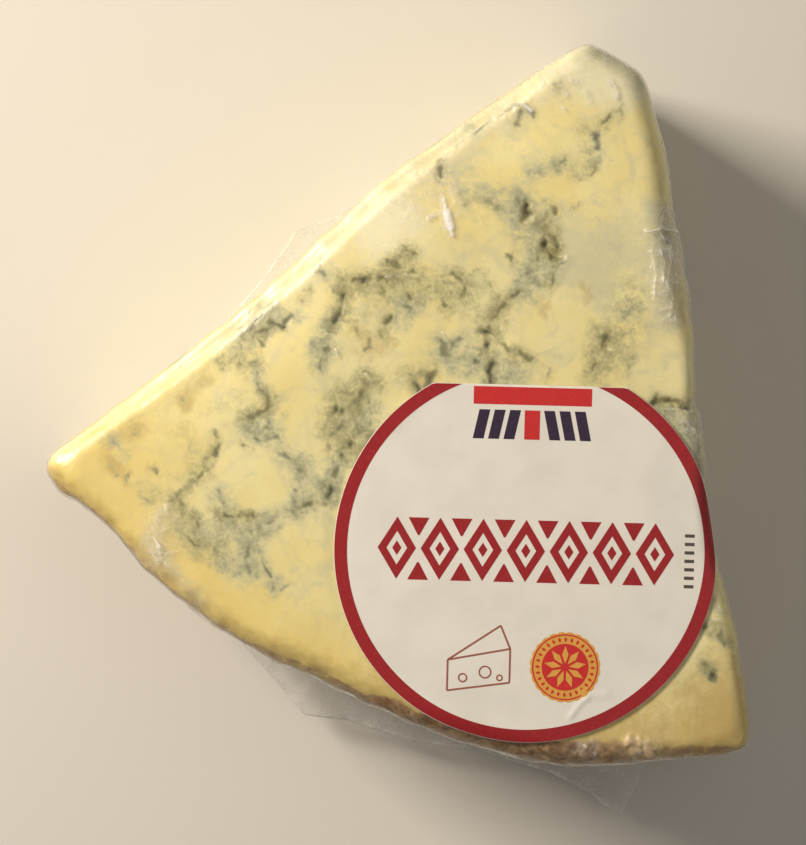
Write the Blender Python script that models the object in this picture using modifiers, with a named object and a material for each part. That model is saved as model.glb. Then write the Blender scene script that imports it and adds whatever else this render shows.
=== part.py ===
"""A wedge of blue-veined cheese sealed in clear film, with a round paper label on top.

Metres, +Z up. The wedge lies on one of its two level cuts, with its tip towards +Y and its rind
facing -Y. The wheel that it was cut from was centred on the upright line through WHEEL_AXIS.
"""
import math
from typing import Callable, NamedTuple

import bmesh
import bpy
from mathutils import Matrix, Vector, noise

MM = 0.001

WHEEL_RADIUS = 100.0 * MM
WEDGE_ANGLE = math.radians(60.9)
THICKNESS = 36.0 * MM
WHEEL_AXIS = Vector((0.0, 54.0 * MM))
PLAN_CENTRE = Vector((0.0, -10.0 * MM))

TIP_CUT = 7.9 * MM
TIP_TURN = math.radians(-13.9)
TIP_CORNER_BLEND = 0.8 * MM
RIND_CORNER_BLEND = 1.4 * MM
BLEND_FROM = 30.0 * MM
BLEND_TO = 80.0 * MM
EDGE_BLEND = 3.6 * MM

LEFT_EDGE_RADIUS = 3.0 * MM
RIGHT_EDGE_RADIUS = 4.2 * MM
RIGHT_EDGE_RADIUS_AT_RIND = 2.2 * MM
RIGHT_EDGE_CHANGE = (38.0 * MM, 48.0 * MM)
RIND_EDGE_RADIUS = 3.5 * MM
BASE_EDGE_RADIUS = 2.0 * MM

OUTLINE_POINTS = 150
TRIM_DEPTH = 0.6 * MM
RELIEF_GRAIN = 0.9 * MM
WEDGE_TRIANGLES = 8200

LABEL_CENTRE = Vector((12.9 * MM, -18.6 * MM))
LABEL_RADIUS = 25.0 * MM
LABEL_CHORD = 21.6 * MM
LABEL_TURN = math.radians(20.0)
LABEL_THICKNESS = 0.25 * MM
LABEL_GAP = 0.35 * MM
LABEL_CELLS = 26
LABEL_CLEARING = 1.5 * MM

FILM_THICKNESS = 0.4 * MM
MARGIN_ROOT = 4.0 * MM
MARGIN_HEIGHT = 7.5 * MM
MARGIN_SAG = 3.0 * MM
MARGIN_COLUMNS = 56
MARGIN_ROWS = 5
FIN_HEIGHT = 20.0 * MM
FIN_ROOT = 3.0 * MM
FIN_COLUMNS = 24

SEED_SHIFT = Vector((3.7, 1.9, 8.3))


class Swell(NamedTuple):
    """A soft bulge or hollow of a wall, at a place along it."""

    place: float
    spread: float
    height: float


class Pit(NamedTuple):
    """A round hollow in the top cut, under the film."""

    x: float
    y: float
    radius: float
    depth: float


class Crack(NamedTuple):
    """A split in the top cut that follows a short route."""

    route: tuple[tuple[float, float], ...]
    half_width: float
    depth: float


class Station(NamedTuple):
    """How far a flap of film stands out at a place along the wall it grows from."""

    place: float
    reach: float


# Places along the cut walls are distances from the wheel's axis, on the rind angles, and on the tip distances
# from its middle.
LEFT_SWELLS = (
    Swell(26 * MM, 10 * MM, 1.0 * MM),
    Swell(42 * MM, 12 * MM, 1.5 * MM),
    Swell(98 * MM, 9 * MM, 0.5 * MM),
)
RIGHT_SWELLS = (
    Swell(21.5 * MM, 6.5 * MM, 0.95 * MM),
    Swell(38 * MM, 7.5 * MM, 0.8 * MM),
    Swell(54 * MM, 3 * MM, -0.6 * MM),
    Swell(70 * MM, 11 * MM, -1.1 * MM),
)
RIND_SWELLS = (
    Swell(math.radians(16), math.radians(6), 0.85 * MM),
    Swell(math.radians(-3.5), math.radians(7), -1.35 * MM),
    Swell(math.radians(-16.5), math.radians(5), -0.75 * MM),
    Swell(math.radians(-24), math.radians(4.5), -1.6 * MM),
)
TIP_SWELLS = (Swell(5.3 * MM, 3.5 * MM, 0.7 * MM),)

PITS = (
    Pit(3.2 * MM, 18.3 * MM, 1.7 * MM, 1.0 * MM),
    Pit(-4.6 * MM, 23.4 * MM, 1.2 * MM, 0.6 * MM),
    Pit(13.0 * MM, 10.9 * MM, 1.5 * MM, 0.8 * MM),
    Pit(-0.6 * MM, 2.5 * MM, 1.7 * MM, 0.6 * MM),
    Pit(-14.3 * MM, -5.0 * MM, 1.3 * MM, 0.5 * MM),
    Pit(-22.6 * MM, -27.9 * MM, 1.3 * MM, 0.6 * MM),
)
CRACKS = (
    Crack(((-4.6, 23.4), (-2.7, 22.1), (-0.6, 21.0), (1.8, 19.7), (3.2, 18.3)), 0.9, 0.8),
    Crack(((2.8, 15.2), (0.8, 11.9), (-1.1, 9.9), (-1.8, 6.9), (-1.6, 4.6)), 0.8, 0.5),
    Crack(((-22.4, -27.5), (-20.1, -26.2), (-17.2, -24.1), (-13.8, -22.5)), 0.9, 0.6),
    Crack(((20.6, 5.9), (23.3, 6.8), (27.5, 8.2)), 1.5, 1.2),
)

MARGIN_STATIONS = (
    Station(math.radians(-11.5), 0.3 * MM),
    Station(math.radians(-6.0), 3.7 * MM),
    Station(math.radians(-3.2), 6.1 * MM),
    Station(math.radians(0.0), 4.3 * MM),
    Station(math.radians(5.5), 4.2 * MM),
    Station(math.radians(10.3), 3.0 * MM),
    Station(math.radians(16.0), 4.8 * MM),
    Station(math.radians(19.0), 7.3 * MM),
    Station(math.radians(21.4), 11.0 * MM),
    Station(math.radians(23.2), 3.5 * MM),
    Station(math.radians(23.6), 0.3 * MM),
)
FIN_STATIONS = (
    Station(43 * MM, 0.2 * MM),
    Station(48 * MM, 1.5 * MM),
    Station(54 * MM, 4.0 * MM),
    Station(55 * MM, 3.6 * MM),
    Station(62 * MM, 1.8 * MM),
    Station(71 * MM, 0.2 * MM),
)


def smooth_step(low: float, high: float, value: float) -> float:
    """Rise from 0 to 1 between two values."""
    share = min(max((value - low) / (high - low), 0.0), 1.0)
    return share * share * (3.0 - 2.0 * share)


def bulge(swells: tuple[Swell, ...], place: float) -> float:
    """Add up the swells of a wall at one place."""
    return sum(s.height * math.exp(-((place - s.place) / s.spread) ** 2) for s in swells)


def reach_at(stations: tuple[Station, ...], place: float) -> float:
    """Run straight from each station of a flap to the next."""
    for near, far in zip(stations, stations[1:]):
        if place <= far.place:
            share = (place - near.place) / (far.place - near.place)
            return near.reach + (far.reach - near.reach) * max(share, 0.0)
    return stations[-1].reach


def wall_depths(x: float, y: float) -> tuple[float, float, float, float]:
    """Give how far inside the left cut, the right cut, the rind and the tip a plan point lies."""
    across = x - WHEEL_AXIS.x
    along = WHEEL_AXIS.y - y
    cosine = math.cos(WEDGE_ANGLE / 2)
    sine = math.sin(WEDGE_ANGLE / 2)
    radius = math.hypot(across, along)
    angle = math.atan2(across, along)
    left_place = along * cosine - across * sine
    right_place = along * cosine + across * sine
    left = bulge(LEFT_SWELLS, left_place) + across * cosine + along * sine
    right = bulge(RIGHT_SWELLS, right_place) - across * cosine + along * sine
    rind = WHEEL_RADIUS + bulge(RIND_SWELLS, angle) - radius
    tip = bulge(TIP_SWELLS, radius * math.sin(angle - TIP_TURN)) + radius * math.cos(angle - TIP_TURN) - TIP_CUT
    return left, right, rind, tip


def inset(x: float, y: float) -> float:
    """Give how far inside the wedge's outline a plan point lies, with the corners blended."""
    depths = wall_depths(x, y)
    least = min(depths)
    towards_rind = smooth_step(BLEND_FROM, BLEND_TO, math.hypot(x - WHEEL_AXIS.x, y - WHEEL_AXIS.y))
    blend = TIP_CORNER_BLEND + (RIND_CORNER_BLEND - TIP_CORNER_BLEND) * towards_rind
    spread = sum(math.exp((least - depth) / blend) for depth in depths)
    return least - blend * math.log(spread)


def inward(x: float, y: float) -> Vector:
    """Give the plan direction in which the inset grows fastest."""
    step = 0.2 * MM
    rise_x = inset(x + step, y) - inset(x - step, y)
    rise_y = inset(x, y + step) - inset(x, y - step)
    return Vector((rise_x, rise_y)).normalized()


def edge_radius(x: float, y: float) -> float:
    """Give the rounding of the top edge nearest to a plan point, changing softly from wall to wall."""
    place = math.hypot(x - WHEEL_AXIS.x, y - WHEEL_AXIS.y)
    sharpened = (RIGHT_EDGE_RADIUS_AT_RIND - RIGHT_EDGE_RADIUS) * smooth_step(*RIGHT_EDGE_CHANGE, place)
    radii = (LEFT_EDGE_RADIUS, RIGHT_EDGE_RADIUS + sharpened, RIND_EDGE_RADIUS, LEFT_EDGE_RADIUS)
    depths = wall_depths(x, y)
    least = min(depths)
    shares = [math.exp((least - depth) / EDGE_BLEND) for depth in depths]
    return sum(radius * share for radius, share in zip(radii, shares)) / sum(shares)


def plan_outline() -> list[tuple[float, float]]:
    """Find the wedge's outline by going out from the plan's centre until the inset is nought."""
    points = []
    for step in range(OUTLINE_POINTS):
        turn = 2.0 * math.pi * step / OUTLINE_POINTS
        ray = Vector((math.cos(turn), math.sin(turn)))
        near = 0.0
        far = 1.2 * WHEEL_RADIUS
        for _ in range(30):
            middle = (near + far) / 2
            point = PLAN_CENTRE + ray * middle
            if inset(point.x, point.y) > 0.0:
                near = middle
            else:
                far = middle
        point = PLAN_CENTRE + ray * near
        points.append((point.x, point.y))
    return points


def distance_to_route(x: float, y: float, route: tuple[tuple[float, float], ...]) -> float:
    """Give the distance from a plan point to the nearest stretch of a route."""
    point = Vector((x, y))
    nearest = math.inf
    for start, end in zip(route, route[1:]):
        origin = Vector(start)
        run = Vector(end) - origin
        share = min(max((point - origin).dot(run) / run.length_squared, 0.0), 1.0)
        nearest = min(nearest, (point - origin - run * share).length)
    return nearest


def top_hollow(x: float, y: float) -> float:
    """Give how deep the film dips into the pits and cracks of the top cut."""
    depth = 0.0
    for pit in PITS:
        away = math.hypot(x - pit.x, y - pit.y) / pit.radius
        depth = max(depth, pit.depth * math.exp(-away * away))
    for crack in CRACKS:
        away = distance_to_route(x / MM, y / MM, crack.route) / crack.half_width
        depth = max(depth, crack.depth * MM * math.exp(-away * away))
    return depth


def rough(point: Vector, wavelength: float) -> float:
    """Give seeded unevenness between -1 and 1 whose lumps are about one wavelength apart."""
    return noise.noise(point / wavelength + SEED_SHIFT)


def relief(point: Vector, normal: Vector) -> float:
    """Give how far the wedge's skin stands out from its plain form at a point."""
    left, right, rind, _ = wall_depths(point.x, point.y)
    label_room = (Vector((point.x, point.y)) - LABEL_CENTRE).length - LABEL_RADIUS
    under_label = smooth_step(0.0, LABEL_CLEARING, label_room) if normal.z > 0.2 else 1.0
    crusty = smooth_step(0.5, 0.9, 1.0 - abs(normal.z)) * smooth_step(4 * MM, 1.5 * MM, rind)
    facing_up = smooth_step(0.6, 0.9, normal.z)
    shift = 0.30 * MM * rough(point, 18 * MM) + 0.14 * MM * rough(point, 6 * MM)
    shift += crusty * (0.45 * MM * rough(point, 5 * MM) + 0.25 * MM * rough(point, 2.2 * MM))
    shift -= facing_up * top_hollow(point.x, point.y)
    creased = (1.0 - facing_up) * smooth_step(7 * MM, 3 * MM, min(left, right))
    shift += creased * 0.22 * MM * rough(Vector((point.x * 2, point.y * 2, point.z / 3)), 7 * MM)
    return shift * under_label


def make_collection(name: str) -> bpy.types.Collection:
    """Add a collection to the scene."""
    collection = bpy.data.collections.new(name)
    bpy.context.scene.collection.children.link(collection)
    return collection


def make_material(name: str, colour: tuple[float, float, float], roughness: float) -> bpy.types.Material:
    """Make a plain non-metal finish."""
    material = bpy.data.materials.new(name)
    material.use_nodes = True
    shader = material.node_tree.nodes["Principled BSDF"]
    shader.inputs["Base Color"].default_value = (*colour, 1.0)
    shader.inputs["Roughness"].default_value = roughness
    shader.inputs["Metallic"].default_value = 0.0
    return material


def add_object(name: str, mesh: bpy.types.Mesh, collection: bpy.types.Collection) -> bpy.types.Object:
    """Wrap a mesh in an object of a collection."""
    thing = bpy.data.objects.new(name, mesh)
    collection.objects.link(thing)
    return thing


def settle(thing: bpy.types.Object) -> None:
    """Turn an object's modifiers into plain mesh."""
    evaluated = thing.evaluated_get(bpy.context.evaluated_depsgraph_get())
    mesh = bpy.data.meshes.new_from_object(evaluated)
    thing.modifiers.clear()
    thing.data = mesh


def mesh_from(build: Callable[[bmesh.types.BMesh], None], name: str) -> bpy.types.Mesh:
    """Fill a new mesh with what a building function adds to it."""
    shape = bmesh.new()
    build(shape)
    bmesh.ops.recalc_face_normals(shape, faces=shape.faces)
    mesh = bpy.data.meshes.new(name)
    shape.to_mesh(mesh)
    shape.free()
    return mesh


def build_block(shape: bmesh.types.BMesh) -> None:
    """Raise the outline into a block with sharp edges."""
    corners = [shape.verts.new((x, y, -TRIM_DEPTH)) for x, y in plan_outline()]
    floor = shape.faces.new(corners)
    raised = bmesh.ops.extrude_face_region(shape, geom=[floor], use_keep_orig=True)
    lifted = [item for item in raised["geom"] if isinstance(item, bmesh.types.BMVert)]
    bmesh.ops.translate(shape, verts=lifted, vec=(0, 0, THICKNESS + TRIM_DEPTH))


def refine(block: bpy.types.Object) -> None:
    """Cover the block with evenly spaced vertices."""
    refining = block.modifiers.new("even_skin", "REMESH")
    refining.mode = "VOXEL"
    refining.voxel_size = RELIEF_GRAIN
    settle(block)


def rounded(point: Vector) -> Vector:
    """Pull a point of the sharp block onto the rounding of the level edge next to it."""
    near_top = point.z > THICKNESS / 2
    radius = edge_radius(point.x, point.y) if near_top else BASE_EDGE_RADIUS
    depth = THICKNESS - point.z if near_top else point.z + TRIM_DEPTH
    into = inset(point.x, point.y)
    if into >= radius or depth >= radius:
        return point.copy()
    from_centre = Vector((radius - into, radius - depth))
    on_arc = from_centre.normalized() * radius
    shift = inward(point.x, point.y) * (from_centre.x - on_arc.x)
    height = THICKNESS - radius + on_arc.y if near_top else radius - TRIM_DEPTH - on_arc.y
    return Vector((point.x + shift.x, point.y + shift.y, height))


def round_edges(block: bpy.types.Object) -> None:
    """Round the block's level edges."""
    for vert in block.data.vertices:
        vert.co = rounded(vert.co)


def carve_relief(block: bpy.types.Object) -> None:
    """Give the even skin its lumps, pits, cracks and crust."""
    shape = bmesh.new()
    shape.from_mesh(block.data)
    shape.normal_update()
    shifts = [vert.normal * relief(vert.co, vert.normal) for vert in shape.verts]
    for vert, shift in zip(shape.verts, shifts):
        vert.co += shift
    shape.to_mesh(block.data)
    shape.free()


def thin_out(block: bpy.types.Object) -> None:
    """Drop the triangles that the skin's form doesn't need."""
    triangles = sum(len(face.vertices) - 2 for face in block.data.polygons)
    fewer = block.modifiers.new("fewer_faces", "DECIMATE")
    fewer.ratio = WEDGE_TRIANGLES / triangles
    settle(block)


def trim_base(block: bpy.types.Object, cutters: bpy.types.Collection) -> None:
    """Cut the underside level, so that the wedge rests on a flat face."""
    depth = 10 * MM
    mesh = mesh_from(lambda shape: bmesh.ops.create_cube(shape, size=1.0), "floor_cutter")
    cutter = add_object("floor_cutter", mesh, cutters)
    cutter.scale = (2.5 * WHEEL_RADIUS, 2.5 * WHEEL_RADIUS, depth)
    cutter.location = (0, 0, -depth / 2)
    cutter.hide_render = True
    cutter.display_type = "WIRE"
    cut = block.modifiers.new("level_base", "BOOLEAN")
    cut.operation = "DIFFERENCE"
    cut.object = cutter
    settle(block)


def make_flap(
    name: str,
    columns: int,
    rows: int,
    place: Callable[[float, float], Vector],
    collection: bpy.types.Collection,
) -> bpy.types.Object:
    """Lay a grid along a wall as a sheet and give it the film's thickness."""

    def build(shape: bmesh.types.BMesh) -> None:
        bmesh.ops.create_grid(shape, x_segments=columns, y_segments=rows, size=0.5)
        for vert in shape.verts:
            vert.co = place(vert.co.x + 0.5, vert.co.y + 0.5)

    flap = add_object(name, mesh_from(build, name), collection)
    wall = flap.modifiers.new("film_thickness", "SOLIDIFY")
    wall.thickness = FILM_THICKNESS
    wall.offset = 0.0
    settle(flap)
    return flap


def margin_point(along: float, out: float) -> Vector:
    """Place a point of the loose film that runs round the foot of the rind."""
    first = MARGIN_STATIONS[0].place
    last = MARGIN_STATIONS[-1].place
    angle = first + (last - first) * along
    reach = reach_at(MARGIN_STATIONS, angle)
    radius = WHEEL_RADIUS - MARGIN_ROOT + (MARGIN_ROOT + reach) * out
    x = WHEEL_AXIS.x + radius * math.sin(angle)
    y = WHEEL_AXIS.y - radius * math.cos(angle)
    wave = 0.5 * MM * rough(Vector((x, y, 0)), 7 * MM)
    fall = MARGIN_SAG * (radius - WHEEL_RADIUS) / (8 * MM)
    return Vector((x, y, MARGIN_HEIGHT - fall + wave))


def fin_point(along: float, out: float) -> Vector:
    """Place a point of the pinched film that stands out of the left cut."""
    first = FIN_STATIONS[0].place
    last = FIN_STATIONS[-1].place
    place = first + (last - first) * along
    reach = reach_at(FIN_STATIONS, place) + bulge(LEFT_SWELLS, place)
    off = (FIN_ROOT + reach) * out - FIN_ROOT
    sine = math.sin(WEDGE_ANGLE / 2)
    cosine = math.cos(WEDGE_ANGLE / 2)
    x = WHEEL_AXIS.x - place * sine - off * cosine
    y = WHEEL_AXIS.y - place * cosine + off * sine
    return Vector((x, y, FIN_HEIGHT + 0.4 * MM * rough(Vector((x, y, 0)), 9 * MM)))


def make_wedge(parts: bpy.types.Collection, cutters: bpy.types.Collection) -> bpy.types.Object:
    """Make the sealed wedge as one solid, with its loose film joined on."""
    wedge = add_object("wrapped_wedge", mesh_from(build_block, "wrapped_wedge"), parts)
    refine(wedge)
    round_edges(wedge)
    carve_relief(wedge)
    thin_out(wedge)
    trim_base(wedge, cutters)
    flaps = make_collection("film_flaps")
    make_flap("film_margin", MARGIN_COLUMNS, MARGIN_ROWS, margin_point, flaps)
    make_flap("film_fin", FIN_COLUMNS, MARGIN_ROWS, fin_point, flaps)
    joining = wedge.modifiers.new("film_joined", "BOOLEAN")
    joining.operation = "UNION"
    joining.operand_type = "COLLECTION"
    joining.collection = flaps
    settle(wedge)
    for flap in list(flaps.objects):
        bpy.data.objects.remove(flap)
    bpy.data.collections.remove(flaps)
    return wedge


def wrap_over_edge(x: float, y: float, lift: float) -> Vector:
    """Lay a flat point on the top cut, bending it down where it runs past the start of the edge."""
    radius = edge_radius(x, y)
    overrun = radius - inset(x, y)
    if overrun <= 0.0:
        return Vector((x, y, THICKNESS + lift))
    bend = overrun / (radius + lift)
    out = (radius + lift) * math.sin(bend) - overrun
    point = Vector((x, y)) - inward(x, y) * out
    return Vector((point.x, point.y, THICKNESS - radius + (radius + lift) * math.cos(bend)))


def build_label(shape: bmesh.types.BMesh) -> None:
    """Make the round paper with its straight top edge and lay it over the top cut."""
    bmesh.ops.create_grid(shape, x_segments=LABEL_CELLS, y_segments=LABEL_CELLS, size=1.0)
    for vert in shape.verts:
        u, v, _ = vert.co
        round_u = u * math.sqrt(1.0 - v * v / 2.0)
        round_v = v * math.sqrt(1.0 - u * u / 2.0)
        vert.co = Vector((round_u, round_v, 0.0)) * LABEL_RADIUS
    everything = [*shape.verts, *shape.edges, *shape.faces]
    bmesh.ops.bisect_plane(
        shape, geom=everything, plane_co=(0, LABEL_CHORD, 0), plane_no=(0, 1, 0), clear_outer=True
    )
    for vert in shape.verts:
        flat = LABEL_CENTRE + Matrix.Rotation(LABEL_TURN, 2) @ vert.co.to_2d()
        vert.co = wrap_over_edge(flat.x, flat.y, LABEL_GAP)


def make_label(parts: bpy.types.Collection) -> bpy.types.Object:
    """Make the paper label as a thin solid that rests over the film."""
    label = add_object("label", mesh_from(build_label, "label"), parts)
    paper = label.modifiers.new("paper_thickness", "SOLIDIFY")
    paper.thickness = LABEL_THICKNESS
    paper.offset = 1.0
    settle(label)
    return label


def main() -> None:
    """Clear the scene and build the wrapped wedge and its label."""
    for thing in list(bpy.data.objects):
        bpy.data.objects.remove(thing)
    parts = make_collection("stilton_wedge")
    cutters = make_collection("cutters")
    wedge = make_wedge(parts, cutters)
    wedge.data.materials.clear()
    wedge.data.materials.append(make_material("wrapped_cheese", (0.80, 0.66, 0.30), 0.25))
    label = make_label(parts)
    label.data.materials.append(make_material("label_paper", (0.86, 0.84, 0.78), 0.60))
    for thing in (wedge, label):
        for face in thing.data.polygons:
            face.use_smooth = True


if __name__ == "__main__":
    main()
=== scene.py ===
"""A wedge of blue-veined cheese in tight clear film, with a round paper label, on a pale floor.

Metres, +Z up. The wedge lies on one of its level cuts, with its tip towards +Y and its rind facing
-Y. Veins and creases are placed by where they show in the photograph, which looks straight down.
"""

import logging
import math
from dataclasses import dataclass, field
from enum import Enum
from typing import Callable, Iterable, Sequence

import bmesh
import bpy
import numpy as np
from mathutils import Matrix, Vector, noise


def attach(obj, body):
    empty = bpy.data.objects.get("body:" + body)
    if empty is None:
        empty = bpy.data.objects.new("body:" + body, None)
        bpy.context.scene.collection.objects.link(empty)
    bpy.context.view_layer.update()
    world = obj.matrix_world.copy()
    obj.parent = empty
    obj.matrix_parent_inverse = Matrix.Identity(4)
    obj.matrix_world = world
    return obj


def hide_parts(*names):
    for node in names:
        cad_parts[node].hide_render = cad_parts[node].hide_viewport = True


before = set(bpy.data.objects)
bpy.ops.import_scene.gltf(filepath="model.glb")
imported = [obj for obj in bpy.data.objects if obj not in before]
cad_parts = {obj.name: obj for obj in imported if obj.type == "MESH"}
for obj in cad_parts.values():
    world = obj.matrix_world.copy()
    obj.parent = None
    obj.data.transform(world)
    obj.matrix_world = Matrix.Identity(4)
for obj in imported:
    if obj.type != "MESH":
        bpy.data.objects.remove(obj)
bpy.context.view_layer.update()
LOG = logging.getLogger("cheese_wedge")
MM = 0.001
BODY = "root"
WEDGE_NODE = "wrapped_wedge"
LABEL_NODE = "label"

Array = np.ndarray
Material = bpy.types.Material
Mesh = bpy.types.Mesh
Socket = bpy.types.NodeSocket
Thing = bpy.types.Object
Triple = tuple[float, float, float]
Petals = tuple[int, float, float, float]
Route = tuple[float, ...]
PlaceRule = Callable[[Array, Array], Array]
Span = tuple[float, float]
FaceRule = Callable[[Array], Array]


def from_display(red: float, green: float, blue: float) -> Triple:
    """Turn a display colour of 0 to 255 a channel into linear light."""

    def linear(value: float) -> float:
        """Turn one channel."""
        share = value / 255.0
        return share / 12.92 if share <= 0.04045 else ((share + 0.055) / 1.055) ** 2.4

    return (linear(red), linear(green), linear(blue))


def smooth_step(low: float, high: float, value: Array) -> Array:
    """Rise from 0 to 1 between two values; low may be above high."""
    share = np.clip((value - low) / (high - low), 0.0, 1.0)
    return share * share * (3.0 - 2.0 * share)


def rough(points: Array, wavelength: float, seed: float = 0.0) -> Array:
    """Give seeded unevenness between -1 and 1 whose lumps are about one wavelength apart.

    Args:
        points: One place a row, in metres.
        wavelength: The distance between lumps, in metres.
        seed: A shift that gives another pattern.

    Returns:
        One value for each point.
    """
    shifted = points / wavelength + np.array((3.7, 1.9, 8.3)) + seed
    return np.array([noise.noise(place) for place in shifted.tolist()])


def route_distance(points: Array, route: Route) -> Array:
    """Give the distance from plane points to the nearest stretch of a route.

    Args:
        points: Plane points, one a row.
        route: The corners of the route, x and y by turns, in the same units.

    Returns:
        One distance for each point.
    """
    nearest = np.full(len(points), np.inf)
    corners = np.array(route, dtype=float).reshape(-1, 2)
    for start, end in zip(corners, corners[1:]):
        run = end - start
        share = np.clip((points - start) @ run / max(run @ run, 1e-12), 0.0, 1.0)
        away = np.linalg.norm(points - start - share[:, None] * run, axis=1)
        nearest = np.minimum(nearest, away)
    return nearest


def add_thing(name: str, data: bpy.types.ID) -> Thing:
    """Put new data in the scene as an object at the origin."""
    thing = bpy.data.objects.new(name, data)
    bpy.context.scene.collection.objects.link(thing)
    return thing


def closed(shape: bmesh.types.BMesh, name: str) -> Mesh:
    """Turn a finished shape into a mesh."""
    mesh = bpy.data.meshes.new(name)
    shape.to_mesh(mesh)
    shape.free()
    return mesh


def evaluated_mesh(thing: Thing) -> Mesh:
    """Give the mesh that an object's modifiers make, and take the object away."""
    evaluated = thing.evaluated_get(bpy.context.evaluated_depsgraph_get())
    mesh = bpy.data.meshes.new_from_object(evaluated)
    bpy.data.objects.remove(thing)
    return mesh


@dataclass(frozen=True)
class Relief:
    """Seeded unevenness: how high its lumps are and how far apart, both in metres."""

    height: float
    wavelength: float
    seed: float = 0.0

    def at(self, points: Array) -> Array:
        """Give the unevenness at each point."""
        return self.height * rough(points, self.wavelength, self.seed)


@dataclass(frozen=True)
class Shot:
    """The photograph's view: straight down, with the wedge's tip leaning to the upper right."""

    width: int = 806
    height: int = 845
    eye: Triple = (-8.1 * MM, -8.9 * MM, 456.0 * MM)
    turn: float = math.radians(21.5)
    sensor_mm: float = 36.0
    lens_mm: float = 137.4

    def pixel_size(self, level: Array | float) -> Array | float:
        """Give how many metres one pixel covers on a plane at this level."""
        return (self.eye[2] - level) * self.sensor_mm / (self.lens_mm * self.height)

    def seen(self, points: Array) -> Array:
        """Give the pixel at which each point shows."""
        offset = points[:, :2] - np.array(self.eye[:2])
        cosine = math.cos(self.turn)
        sine = math.sin(self.turn)
        right = offset[:, 0] * cosine + offset[:, 1] * sine
        up = offset[:, 1] * cosine - offset[:, 0] * sine
        size = self.pixel_size(points[:, 2])
        return np.stack((self.width / 2 + right / size, self.height / 2 - up / size), axis=1)

    def add_camera(self) -> Thing:
        """Add the camera and make it the scene's own."""
        data = bpy.data.cameras.new("camera")
        data.sensor_width = self.sensor_mm
        data.lens = self.lens_mm
        data.clip_start = 0.01
        data.clip_end = 10.0
        camera = add_thing("camera", data)
        camera.location = self.eye
        camera.rotation_euler = (0.0, 0.0, self.turn)
        bpy.context.scene.camera = camera
        return camera


SHOT = Shot()


@dataclass(frozen=True)
class Swell:
    """A soft bulge or hollow of a wall, at a place along it."""

    place: float
    spread: float
    height: float


def bulge(swells: Iterable[Swell], place: Array) -> Array:
    """Add up the swells of a wall at each place along it."""
    total = np.zeros_like(place)
    for swell in swells:
        total += swell.height * np.exp(-(((place - swell.place) / swell.spread) ** 2))
    return total


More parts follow.
